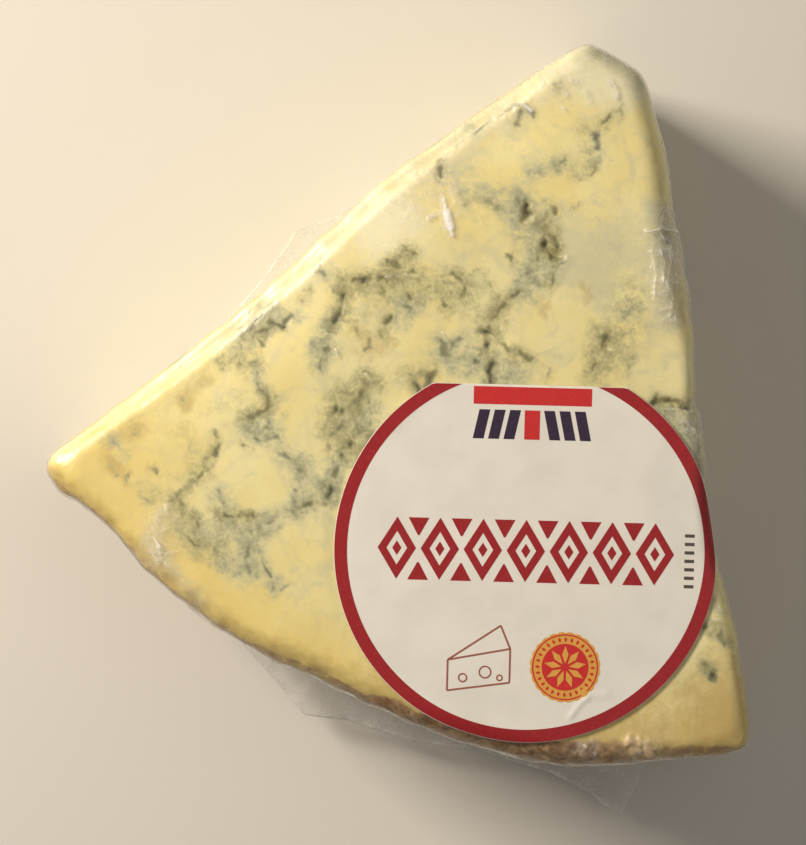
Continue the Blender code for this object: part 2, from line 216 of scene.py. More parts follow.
@dataclass(frozen=True)
class WedgeForm:
    """The outer form of the wrapped wedge, worked out from the wheel that it was cut from."""

    wheel_radius: float = 100.0 * MM
    half_angle: float = math.radians(60.9 / 2)
    thickness: float = 36.0 * MM
    axis_y: float = 54.0 * MM
    centre_y: float = -10.0 * MM
    tip_cut: float = 7.9 * MM
    tip_turn: float = math.radians(-13.9)
    tip_blend: float = 0.8 * MM
    rind_blend: float = 1.4 * MM
    blend_from: float = 30.0 * MM
    blend_to: float = 80.0 * MM
    edge_blend: float = 3.6 * MM
    left_radius: float = 3.0 * MM
    right_radius: float = 4.2 * MM
    right_radius_at_rind: float = 2.2 * MM
    right_change: tuple[float, float] = (38.0 * MM, 48.0 * MM)
    knob_depth: float = 6.0 * MM
    knob_sway: float = 6.0
    knob_grain: float = 1.1 * MM
    knob_edge: float = 0.01
    knobs: tuple[tuple[float, float, float, float], ...] = (
        *((629, 741, 6.0, 0.30), (640, 742.5, 6.5, 0.34), (648, 752, 6.5, 0.30)),
        *((636, 752, 5.5, 0.24), (647, 743, 4.5, 0.22), (586, 750, 5.0, 0.16)),
        *((572, 755, 5.5, 0.14), (600, 754, 5.5, 0.14)),
    )
    rind_radius: float = 3.5 * MM
    base_radius: float = 2.0 * MM
    trim: float = 0.6 * MM
    outline_corners: int = 180
    slump: float = 1.1 * MM
    slump_width: float = 12.0 * MM
    slump_starts: Span = (12.0 * MM, 26.0 * MM)
    slump_ends: Span = (98.0 * MM, 74.0 * MM)
    waves: tuple[Relief, Relief] = (Relief(0.30 * MM, 18 * MM), Relief(0.14 * MM, 6 * MM))
    crust: tuple[Relief, Relief] = (Relief(0.45 * MM, 5 * MM), Relief(0.25 * MM, 2.2 * MM))
    crust_reach: Span = (4.0 * MM, 1.5 * MM)
    crumbs: tuple[Relief, Relief] = (
        Relief(0.22 * MM, 2.6 * MM, 15.0),
        Relief(0.12 * MM, 1.3 * MM, 19.0),
    )
    crumbs_reach: Span = (4.5 * MM, 0.5 * MM)
    wall_fold_height: float = 0.22
    wall_fold_pitch: float = 7.0 * MM
    wall_fold_stretch: Triple = (2.0, 2.0, 1.0 / 3.0)
    wall_fold_reach: Span = (7.0 * MM, 3.0 * MM)
    left_swells: tuple[Swell, ...] = (
        Swell(26 * MM, 10 * MM, 1.0 * MM),
        Swell(42 * MM, 12 * MM, 1.5 * MM),
        Swell(98 * MM, 9 * MM, 0.5 * MM),
    )
    right_swells: tuple[Swell, ...] = (
        Swell(21.5 * MM, 6.5 * MM, 0.95 * MM),
        Swell(38 * MM, 7.5 * MM, 0.8 * MM),
        Swell(54 * MM, 3 * MM, -0.6 * MM),
        Swell(70 * MM, 11 * MM, -1.1 * MM),
    )
    rind_swells: tuple[Swell, ...] = (
        Swell(math.radians(16), math.radians(6), 0.85 * MM),
        Swell(math.radians(-3.5), math.radians(7), -1.35 * MM),
        Swell(math.radians(-16.5), math.radians(5), -0.75 * MM),
        Swell(math.radians(-24), math.radians(4.5), -1.6 * MM),
    )
    tip_swells: tuple[Swell, ...] = (Swell(5.3 * MM, 3.5 * MM, 0.7 * MM),)

    def wall_depths(self, x: Array, y: Array) -> Array:
        """Give how far inside the left cut, right cut, rind and tip each plan point lies."""
        along = self.axis_y - y
        cosine = math.cos(self.half_angle)
        sine = math.sin(self.half_angle)
        radius = np.hypot(x, along)
        angle = np.arctan2(x, along)
        left = bulge(self.left_swells, along * cosine - x * sine) + x * cosine + along * sine
        right = bulge(self.right_swells, along * cosine + x * sine) - x * cosine + along * sine
        rind = self.wheel_radius + bulge(self.rind_swells, angle) - radius
        tip = bulge(self.tip_swells, radius * np.sin(angle - self.tip_turn))
        tip += radius * np.cos(angle - self.tip_turn) - self.tip_cut
        return np.stack((left, right, rind, tip))

    def inset(self, x: Array, y: Array) -> Array:
        """Give how far inside the outline each plan point lies, with the corners blended."""
        depths = self.wall_depths(x, y)
        least = depths.min(axis=0)
        towards_rind = smooth_step(self.blend_from, self.blend_to, np.hypot(x, self.axis_y - y))
        blend = self.tip_blend + (self.rind_blend - self.tip_blend) * towards_rind
        spread = np.exp((least - depths) / blend).sum(axis=0)
        return least - blend * np.log(spread)

    def inward(self, x: Array, y: Array) -> Array:
        """Give the plan direction in which the inset grows fastest, one row a point."""
        step = 0.2 * MM
        rise_x = self.inset(x + step, y) - self.inset(x - step, y)
        rise_y = self.inset(x, y + step) - self.inset(x, y - step)
        slope = np.stack((rise_x, rise_y), axis=1)
        return slope / np.maximum(np.linalg.norm(slope, axis=1, keepdims=True), 1e-12)

    def edge_radius(self, x: Array, y: Array) -> Array:
        """Give the rounding of the top edge nearest to each plan point."""
        sharper = smooth_step(*self.right_change, np.hypot(x, self.axis_y - y))
        right = self.right_radius + (self.right_radius_at_rind - self.right_radius) * sharper
        left = np.full_like(right, self.left_radius)
        radii = np.stack((left, right, np.full_like(right, self.rind_radius), left))
        depths = self.wall_depths(x, y)
        shares = np.exp((depths.min(axis=0) - depths) / self.edge_blend)
        return (radii * shares).sum(axis=0) / shares.sum(axis=0)

    def outline(self, count: int) -> list[tuple[float, float]]:
        """Find the outline by going out from the plan's centre until the inset is nought."""
        turns = np.arange(count) * (2.0 * math.pi / count)
        rays = np.stack((np.cos(turns), np.sin(turns)))
        near = np.zeros(count)
        far = np.full(count, 1.2 * self.wheel_radius)
        for _ in range(30):
            middle = (near + far) / 2
            inside = self.inset(rays[0] * middle, rays[1] * middle + self.centre_y) > 0.0
            near = np.where(inside, middle, near)
            far = np.where(inside, far, middle)
        return list(zip((rays[0] * near).tolist(), (rays[1] * near + self.centre_y).tolist()))

    def rounded(self, points: Array) -> Array:
        """Pull the points of the sharp block onto the rounding of the level edge next to them.

        Args:
            points: Points of the block, one a row.

        Returns:
            The points, moved where a rounding passes inside them.
        """
        x, y, z = points.T
        near_top = z > self.thickness / 2
        radius = np.where(near_top, self.edge_radius(x, y), self.base_radius)
        depth = np.where(near_top, self.thickness - z, z + self.trim)
        into = self.inset(x, y)
        away_x = radius - into
        away_z = radius - depth
        bent = (away_x > 0) & (away_z > 0)
        pull = radius / np.maximum(np.hypot(away_x, away_z), 1e-9)
        shift = self.inward(x, y) * (away_x * (1.0 - pull))[:, None]
        height = away_z * pull
        level = np.where(near_top, self.thickness - radius + height, radius - self.trim - height)
        moved = np.column_stack((x + shift[:, 0], y + shift[:, 1], level))
        return np.where(bent[:, None], moved, points)

    def knobbed(self, points: Array) -> Array:
        """Give how far the broken lumps of the rim stand out at each point, in millimetres."""
        flat = points * np.array((1.0, 1.0, 0.0))
        seen = SHOT.seen(points)
        seen[:, 0] += self.knob_sway * rough(flat, self.knob_grain, 53.0)
        seen[:, 1] += self.knob_sway * rough(flat, self.knob_grain, 59.0)
        out = np.zeros(len(points))
        for x, y, spread, height in self.knobs:
            away = np.hypot(seen[:, 0] - x, seen[:, 1] - y) / spread
            out = np.maximum(out, height * np.exp(-(away**3)))
        return out * (points[:, 2] > self.thickness - self.knob_depth)

    def on_knob(self, centres: Array) -> Array:
        """Choose the faces on the rim's broken lumps."""
        return self.knobbed(centres) > self.knob_edge

    def near_top(self, depth: float) -> FaceRule:
        """Give the rule that chooses the faces within some depth of the top cut."""
        return lambda centres: centres[:, 2] > self.thickness - depth

    def lumps(self, points: Array, normals: Array) -> Array:
        """Give how far the wedge's skin stands out from its plain form at each point.

        Args:
            points: Points of the plain form, one a row.
            normals: The directions that they face.

        Returns:
            One distance for each point, in metres.
        """
        left, right, rind, _ = self.wall_depths(points[:, 0], points[:, 1])
        facing = normals[:, 2]
        turned_up = smooth_step(0.2, 0.7, facing)
        turned_out = smooth_step(0.5, 0.9, 1.0 - np.abs(facing))
        shift = self.waves[0].at(points) + self.waves[1].at(points)
        crust = self.crust[0].at(points) + self.crust[1].at(points)
        shift += turned_out * smooth_step(*self.crust_reach, rind) * crust
        rim = smooth_step(*self.crumbs_reach, rind) * turned_up
        crumbly = self.crumbs[0].at(points) + self.crumbs[1].at(points)
        shift += rim * crumbly + smooth_step(0.1, 0.5, facing) * self.knobbed(points) * MM
        upright = 1.0 - smooth_step(0.6, 0.9, facing)
        creased = upright * smooth_step(*self.wall_fold_reach, np.minimum(left, right))
        stretched = points * np.array(self.wall_fold_stretch)
        shift += creased * self.wall_fold_height * MM * rough(stretched, self.wall_fold_pitch)
        along = np.linalg.norm(points[:, :2] - np.array((0.0, self.axis_y)), axis=1)
        slumped = smooth_step(self.slump_width, 0.0, left) * turned_up
        slumped *= smooth_step(*self.slump_starts, along) * smooth_step(*self.slump_ends, along)
        shift -= self.slump * slumped
        return shift * LABEL_SHAPE.clearing(points, normals)

    def block(self, name: str, grain: float) -> Mesh:
        """Raise the outline into a sharp block and cover it evenly with square faces.

        Args:
            name: The mesh's name.
            grain: The distance between neighbouring vertices.

        Returns:
            The covered block.
        """
        shape = bmesh.new()
        corners = self.outline(self.outline_corners)
        floor = shape.faces.new([shape.verts.new((x, y, -self.trim)) for x, y in corners])
        raised = bmesh.ops.extrude_face_region(shape, geom=[floor], use_keep_orig=True)
        lifted = [item for item in raised["geom"] if isinstance(item, bmesh.types.BMVert)]
        bmesh.ops.translate(shape, verts=lifted, vec=(0, 0, self.thickness + self.trim))
        bmesh.ops.recalc_face_normals(shape, faces=shape.faces)
        mesh = closed(shape, name)
        thing = add_thing(name, mesh)
        cover = thing.modifiers.new("even_skin", "REMESH")
        cover.mode = "VOXEL"
        cover.voxel_size = grain
        even = evaluated_mesh(thing)
        bpy.data.meshes.remove(mesh)
        return even


@dataclass(frozen=True)
class LabelShape:
    """Where the round label lies on the top cut and how its paper bends over the edges."""

    centre: tuple[float, float] = (12.9 * MM, -18.6 * MM)
    radius: float = 25.0 * MM
    chord: float = 21.6 * MM
    turn: float = math.radians(20.0)
    ring: float = 1.72 * MM
    lift: float = 0.04 * MM
    thickness: float = 0.16 * MM
    clearing_width: float = 1.5 * MM
    dimples: tuple[tuple[float, float, float, float], ...] = (
        (-14.0, 12.5, 4.5, 0.10),
        (-6.0, 6.5, 5.5, 0.08),
        (14.5, -12.5, 5.5, 0.10),
        (-15.5, -11.0, 4.5, 0.08),
        (7.0, 12.0, 5.5, 0.06),
    )
    folds: tuple[tuple[Route, float, float], ...] = (
        ((6.4, -21.4, 7.5, -19.8, 8.6, -18.8), 0.34, 0.13),
        ((8.6, -18.8, 11.0, -18.4), 0.5, 0.07),
        ((-17.6, 15.6, -15.4, 17.6), 0.6, 0.05),
    )

    def clearing(self, points: Array, normals: Array) -> Array:
        """Give 0 where the label holds the film flat and 1 away from it."""
        room = np.linalg.norm(points[:, :2] - np.array(self.centre), axis=1) - self.radius
        return np.where(normals[:, 2] > 0.2, smooth_step(0.0, self.clearing_width, room), 1.0)

    def dents(self, u: Array, v: Array) -> Array:
        """Give how far the paper sinks into the soft cheese under it, less its raised folds."""
        total = np.zeros_like(u)
        for place_u, place_v, spread, depth in self.dimples:
            away = np.hypot(u - place_u * MM, v - place_v * MM) / (spread * MM)
            total += depth * MM * np.exp(-away * away)
        for route, width, height in self.folds:
            away = route_distance(np.column_stack((u, v)) / MM, route) / width
            total -= height * MM * np.exp(-away * away)
        return total

    def lay(self, u: Array, v: Array, lift: float) -> Array:
        """Lay flat label places over the top cut, bending them down past the start of an edge.

        Args:
            u: Places across the label, from its centre.
            v: Places up the label, from its centre.
            lift: The height over the cheese.

        Returns:
            One point a row, in the part's frame.
        """
        x = self.centre[0] + u * math.cos(self.turn) - v * math.sin(self.turn)
        y = self.centre[1] + u * math.sin(self.turn) + v * math.cos(self.turn)
        radius = FORM.edge_radius(x, y)
        overrun = np.maximum(radius - FORM.inset(x, y), 0.0)
        bend = overrun / (radius + lift)
        out = (radius + lift) * np.sin(bend) - overrun
        moved = -FORM.inward(x, y) * out[:, None]
        level = FORM.thickness - radius + (radius + lift) * np.cos(bend) - self.dents(u, v)
        return np.column_stack((x + moved[:, 0], y + moved[:, 1], level))


FORM = WedgeForm()
LABEL_SHAPE = LabelShape()


class Tone(Enum):
    """What grows or shows in the paste."""

    OLIVE = 0
    BLUE = 1
    BROWN = 2
    MILK = 3


@dataclass(frozen=True)
class Vein:
    """A vein, crack or stain of the top cut, along a route of photograph places, x and y by turns.

    core is the half width in pixels of the dark line, stain that of the soft stain round it,
    strength how dense the stain is, and depth how far the crack opens, in millimetres.
    """

    route: Route
    core: float
    stain: float
    tone: Tone
    strength: float = 0.6
    depth: float = 0.0


OLIVE, BLUE, BROWN, MILK = Tone.OLIVE, Tone.BLUE, Tone.BROWN, Tone.MILK

TIP_VEINS = (
    ((583, 53, 600, 52, 622, 63, 640, 78), 0.0, 13, MILK, 0.8),
    ((589, 52, 604, 54), 0.0, 7, BLUE, 0.5),
    ((557, 83, 559, 87), 1.6, 9, OLIVE, 0.5),
    ((505, 107, 514, 103, 527, 103, 535, 113), 1.2, 8, OLIVE, 0.55),
    ((523, 112, 519, 124), 1.2, 8, OLIVE, 0.5),
    ((487, 119, 474, 132), 0.6, 9, BLUE, 0.5),
    ((470, 126, 452, 142), 0.0, 9, BLUE, 0.35),
    ((597, 134, 598, 146, 596, 160), 2.2, 9, BLUE, 0.55),
    ((597, 161, 590, 176), 0.8, 8, OLIVE, 0.45),
    ((580, 128, 584, 150, 580, 178), 0.0, 12, OLIVE, 0.35),
    ((601, 123, 611, 117, 621, 114), 1.0, 9, OLIVE, 0.6),
    ((532, 172, 545, 169, 559, 166), 0.8, 12, BLUE, 0.62),
    ((558, 165, 564, 160), 0.8, 7, OLIVE, 0.5),
    ((437, 156, 438, 169, 440, 178), 1.6, 9, OLIVE, 0.6, 0.04),
    ((441, 176, 456, 172, 470, 167), 0.0, 16, BLUE, 0.34),
    ((465, 186, 486, 188, 504, 206, 524, 210), 0.0, 19, BLUE, 0.36),
    ((466, 200, 476, 198, 496, 206), 0.4, 9, OLIVE, 0.42),
    ((484, 184, 494, 192), 0.0, 9, BLUE, 0.4),
    ((572, 205, 580, 203), 0.5, 8, BROWN, 0.5),
    ((553, 207, 554, 213), 1.2, 8, OLIVE, 0.5),
)
CHAIN_VEINS = (
    ((520, 205, 526, 230, 533, 262, 529, 292), 0.0, 19, BLUE, 0.55),
    ((539, 216, 556, 236, 566, 262), 0.0, 15, MILK, 0.8),
    ((562, 262, 590, 268, 602, 292), 0.0, 25, MILK, 0.75),
    ((575, 235, 612, 240, 640, 262), 0.0, 26, MILK, 0.6),
    ((632, 292, 630, 330, 606, 366), 0.0, 25, OLIVE, 0.38),
    ((516, 195, 520, 198), 1.3, 9, BLUE, 0.6, 0.06),
    ((529, 204, 530, 212, 526, 219), 1.2, 8, OLIVE, 0.6, 0.5),
    ((531, 216, 540, 226, 551, 230, 555, 242), 0.8, 12, OLIVE, 0.75, 0.1),
    ((545, 243, 551, 250, 560, 257), 3.4, 9, OLIVE, 0.8, 0.8),
    ((555, 236, 558, 246, 554, 250), 1.2, 7, OLIVE, 0.6, 0.12),
    ((539, 250, 535, 262), 0.7, 10, OLIVE, 0.55),
    ((533, 268, 531, 279), 0.4, 12, BLUE, 0.6),
    ((556, 272, 562, 266, 568, 264), 0.7, 12, BLUE, 0.6, 0.04),
    ((556, 273, 551, 284), 0.9, 10, OLIVE, 0.6, 0.04),
    ((541, 300, 541, 308), 0.4, 11, BROWN, 0.6),
    ((583, 289, 586, 297), 0.6, 9, BROWN, 0.6),
    ((519, 294, 510, 300, 500, 307), 1.2, 11, OLIVE, 0.6, 0.08),
    ((531, 280, 522, 291), 0.0, 13, BLUE, 0.5),
    ((500, 307, 494, 318, 491, 327), 0.7, 13, OLIVE, 0.62, 0.04),
    ((482, 330, 490, 334, 488, 345), 2.2, 9, OLIVE, 0.6, 0.1),
    ((499, 343, 505, 349, 512, 351), 1.1, 8, OLIVE, 0.5, 0.04),
    ((515, 360, 520, 354, 531, 357), 1.2, 8, OLIVE, 0.6, 0.08),
    ((466, 364, 482, 362, 496, 376, 520, 377), 0.5, 19, BLUE, 0.68),
    ((474, 359, 478, 361), 1.6, 8, BLUE, 0.5),
    ((487, 357, 493, 364, 489, 372, 491, 380), 2.4, 9, OLIVE, 0.6, 0.1),
    ((441, 341, 446, 350, 449, 358), 2.6, 13, BLUE, 0.6, 0.06),
    ((449, 352, 460, 340), 1.4, 8, BLUE, 0.5),
    ((598, 332, 606, 338, 611, 342), 2.0, 14, OLIVE, 0.55, 0.1),
    ((605, 338, 608, 346), 2.4, 11, OLIVE, 0.6, 0.5),
    ((601, 354, 594, 372, 588, 384), 0.6, 12, OLIVE, 0.5),
    ((627, 316, 635, 307), 0.9, 11, BLUE, 0.5),
    ((548, 366, 550, 378), 0.4, 10, BROWN, 0.45),
    ((628, 357, 633, 378), 0.5, 8, OLIVE, 0.45),
    ((508, 253, 512, 257), 0.5, 7, OLIVE, 0.4),
)
UPPER_LEFT_VEINS = (
    ((390, 262, 402, 258, 412, 250), 1.3, 11, OLIVE, 0.5),
    ((400, 243, 407, 250), 0.7, 9, OLIVE, 0.4),
    ((396, 262, 403, 268), 1.2, 9, OLIVE, 0.4),
    ((345, 283, 352, 279, 370, 280, 392, 276), 1.7, 13, OLIVE, 0.65, 0.06),
    ((360, 284, 372, 290, 380, 291), 2.0, 10, OLIVE, 0.6, 0.06),
    ((388, 281, 402, 275, 412, 272), 0.9, 13, OLIVE, 0.5),
    ((352, 290, 378, 300, 362, 316), 0.0, 20, OLIVE, 0.36),
    ((400, 282, 410, 291, 422, 299), 1.2, 9, OLIVE, 0.5, 0.04),
    ((398, 300, 412, 306, 420, 300, 402, 318), 0.7, 14, BLUE, 0.6),
    ((392, 318, 388, 325, 384, 334), 1.5, 9, OLIVE, 0.55, 0.04),
    ((430, 287, 452, 277, 468, 284, 462, 294), 0.6, 18, OLIVE, 0.55),
    ((484, 278, 490, 284), 0.5, 9, OLIVE, 0.4),
    ((446, 303, 448, 309), 1.0, 12, OLIVE, 0.5),
    ((456, 300, 492, 312), 0.0, 16, OLIVE, 0.32),
    ((347, 295, 343, 303, 337, 312, 332, 322), 2.0, 12, OLIVE, 0.65, 0.06),
    ((334, 318, 328, 330, 322, 340), 0.8, 13, BLUE, 0.6),
    ((320, 350, 324, 352, 330, 350), 1.6, 14, BLUE, 0.65),
    ((318, 356, 320, 366), 0.6, 11, BLUE, 0.6),
    ((322, 266, 327, 276), 0.9, 13, BLUE, 0.5),
    ((312, 252, 318, 256), 0.6, 8, BLUE, 0.4),
    ((308, 291, 304, 300), 1.2, 8, OLIVE, 0.5),
    ((356, 328, 358, 333), 0.9, 8, BROWN, 0.5),
    ((367, 335, 370, 345, 362, 350), 0.7, 14, BROWN, 0.6),
    ((382, 341, 390, 340, 384, 347), 1.4, 9, BROWN, 0.6, 0.04),
    ((366, 372, 378, 376, 380, 386), 1.5, 12, OLIVE, 0.55, 0.04),
    ((360, 385, 357, 395, 352, 400), 1.6, 12, OLIVE, 0.6, 0.04),
    ((415, 380, 420, 386, 418, 392), 2.6, 14, BROWN, 0.7, 0.08),
    ((424, 379, 434, 377, 430, 386), 3.6, 11, BROWN, 0.7, 0.1),
    ((408, 376, 428, 372), 0.8, 14, OLIVE, 0.55),
)
LEFT_VEINS = (
    ((268, 309, 262, 311, 256, 318, 251, 328, 243, 332), 1.8, 18, BLUE, 0.72, 0.06),
    ((266, 318, 276, 312), 0.0, 12, BLUE, 0.5),
    ((244, 332, 240, 340, 241, 348), 0.9, 11, OLIVE, 0.55),
    ((258, 332, 266, 328, 273, 323, 281, 326), 1.7, 9, OLIVE, 0.6, 0.04),
    ((259, 337, 262, 343), 1.0, 8, OLIVE, 0.4),
    ((284, 320, 292, 316, 297, 320), 2.0, 9, BLUE, 0.6, 0.02),
    ((220, 358, 226, 362, 240, 366, 256, 361), 0.6, 11, OLIVE, 0.6),
    ((206, 378, 196, 388, 186, 398), 0.0, 11, BROWN, 0.65),
    ((180, 398, 184, 404), 0.9, 9, BROWN, 0.6),
    ((186, 412, 190, 428), 0.0, 10, BROWN, 0.35),
    ((258, 372, 261, 386, 266, 392), 1.3, 11, BLUE, 0.55),
    ((266, 391, 272, 398, 266, 408, 256, 415, 246, 417), 1.5, 11, OLIVE, 0.6, 0.04),
    ((252, 422, 262, 428, 272, 420), 0.5, 13, BLUE, 0.65),
    ((248, 432, 258, 438, 276, 438), 0.9, 10, BLUE, 0.55, 0.02),
    ((244, 446, 250, 447), 0.9, 7, OLIVE, 0.5),
    ((217, 447, 214, 456, 207, 464), 1.3, 8, OLIVE, 0.55, 0.02),
    ((213, 432, 215, 440), 0.5, 7, OLIVE, 0.4),
    ((204, 472, 190, 484, 178, 494, 178, 502), 0.8, 11, OLIVE, 0.55),
    ((277, 398, 240, 436, 186, 492), 0.0, 4, MILK, 0.5, 0.02),
    ((283, 456, 291, 462, 300, 470), 0.7, 14, BLUE, 0.5),
    ((294, 490, 296, 500), 1.2, 9, BLUE, 0.55),
    ((302, 470, 318, 486, 310, 502), 0.0, 20, BLUE, 0.5),
    ((329, 505, 318, 503, 308, 507, 298, 512), 1.3, 8, OLIVE, 0.55, 0.12),
    ((298, 512, 284, 511, 276, 517, 266, 522), 0.9, 10, BLUE, 0.55, 0.04),
    ((266, 521, 254, 532, 249, 545), 0.8, 12, BLUE, 0.6, 0.02),
    ((247, 546, 246, 560, 250, 572), 1.2, 13, BLUE, 0.6, 0.02),
    ((228, 515, 238, 518, 246, 516), 1.3, 9, OLIVE, 0.6, 0.08),
    ((248, 514, 256, 519), 0.9, 8, OLIVE, 0.5, 0.06),
    ((232, 526, 248, 532, 262, 528), 0.0, 14, BLUE, 0.6),
    ((262, 566, 270, 578, 276, 586), 1.6, 13, BLUE, 0.6, 0.04),
    ((280, 590, 288, 585), 0.7, 8, BROWN, 0.5),
    ((226, 566, 232, 570), 0.7, 9, BLUE, 0.5),
    ((180, 504, 192, 513, 199, 522), 0.9, 10, OLIVE, 0.55),
    ((198, 520, 200, 532), 1.2, 9, BLUE, 0.5),
    ((184, 533, 196, 548, 212, 550), 0.6, 17, OLIVE, 0.6),
    ((196, 545, 204, 556), 0.6, 14, BROWN, 0.7),
    ((218, 494, 226, 504), 0.4, 13, BLUE, 0.5),
    ((218, 512, 222, 522), 0.6, 10, OLIVE, 0.4),
    ((106, 437, 104, 452, 107, 466), 0.3, 9, BROWN, 0.6),
    ((107, 467, 116, 474, 127, 474, 126, 480), 0.7, 8, BROWN, 0.75),
    ((106, 437, 116, 446, 122, 456), 0.2, 11, BLUE, 0.42),
    ((120, 434, 132, 438, 140, 430), 0.3, 10, BROWN, 0.55),
    ((130, 420, 134, 428), 0.2, 11, BROWN, 0.5),
    ((154, 468, 157, 473), 0.8, 7, BROWN, 0.6),
    ((176, 432, 196, 452, 190, 470), 0.0, 14, OLIVE, 0.28),
    ((206, 408, 232, 404, 242, 390), 0.0, 14, OLIVE, 0.26),
    ((210, 540, 226, 552, 236, 574), 0.0, 16, BLUE, 0.4),
    ((150, 500, 166, 516), 0.0, 12, OLIVE, 0.26),
    ((146, 488, 154, 494), 0.0, 13, OLIVE, 0.35),
    ((150, 540, 168, 572, 196, 598), 0.0, 13, MILK, 0.6),
    ((300, 592, 330, 566), 0.0, 13, MILK, 0.4),
)
PATCH_VEINS = (
    ((334, 404, 330, 416, 325, 428), 1.6, 13, OLIVE, 0.6, 0.06),
    ((348, 402, 346, 426, 352, 446), 0.0, 24, OLIVE, 0.62),
    ((340, 411, 344, 421, 338, 430), 1.4, 12, BLUE, 0.5),
    ((350, 424, 359, 423, 362, 433), 1.1, 10, BLUE, 0.5, 0.04),
    ((328, 440, 327, 452), 1.3, 10, BROWN, 0.5, 0.02),
    ((348, 452, 359, 443, 368, 434), 1.1, 11, OLIVE, 0.6, 0.04),
    ((342, 456, 338, 470, 332, 484), 1.8, 13, BLUE, 0.62, 0.04),
    ((332, 484, 330, 494, 334, 500), 2.2, 12, BLUE, 0.6, 0.06),
    ((366, 398, 374, 416, 366, 438), 0.4, 14, BLUE, 0.5),
)
RIGHT_VEINS = (
    ((655, 212, 668, 250, 666, 322), 0.0, 19, MILK, 0.85),
    ((664, 232, 668, 250), 0.0, 12, BLUE, 0.5),
    ((648, 402, 668, 401, 695, 404), 2.2, 9, OLIVE, 0.65, 1),
    ((662, 412, 686, 424, 694, 440), 0.9, 14, BLUE, 0.7),
    ((664, 236, 666, 243), 2.2, 9, OLIVE, 0.6, 0.14),
    ((706, 666, 710, 677), 3.6, 7, OLIVE, 0.95, 0.03),
    ((706, 668, 709, 676), 0.0, 8, BROWN, 0.7),
    ((700, 566, 714, 594), 0.6, 10, BROWN, 0.7),
    ((704, 588, 716, 600), 0.0, 8, OLIVE, 0.6),
    ((706, 602, 720, 612), 0.0, 7, MILK, 0.9),
    ((702, 626, 716, 630, 728, 641), 1.2, 8, OLIVE, 0.8),
    ((690, 430, 700, 470, 704, 500), 1.1, 16, BLUE, 0.72),
    ((650, 146, 662, 190, 668, 225), 0.0, 8, BROWN, 0.4),
    ((675, 290, 684, 322), 0.0, 7, BROWN, 0.6),
)
VEIN_ROWS = TIP_VEINS + CHAIN_VEINS + UPPER_LEFT_VEINS + LEFT_VEINS + PATCH_VEINS + RIGHT_VEINS


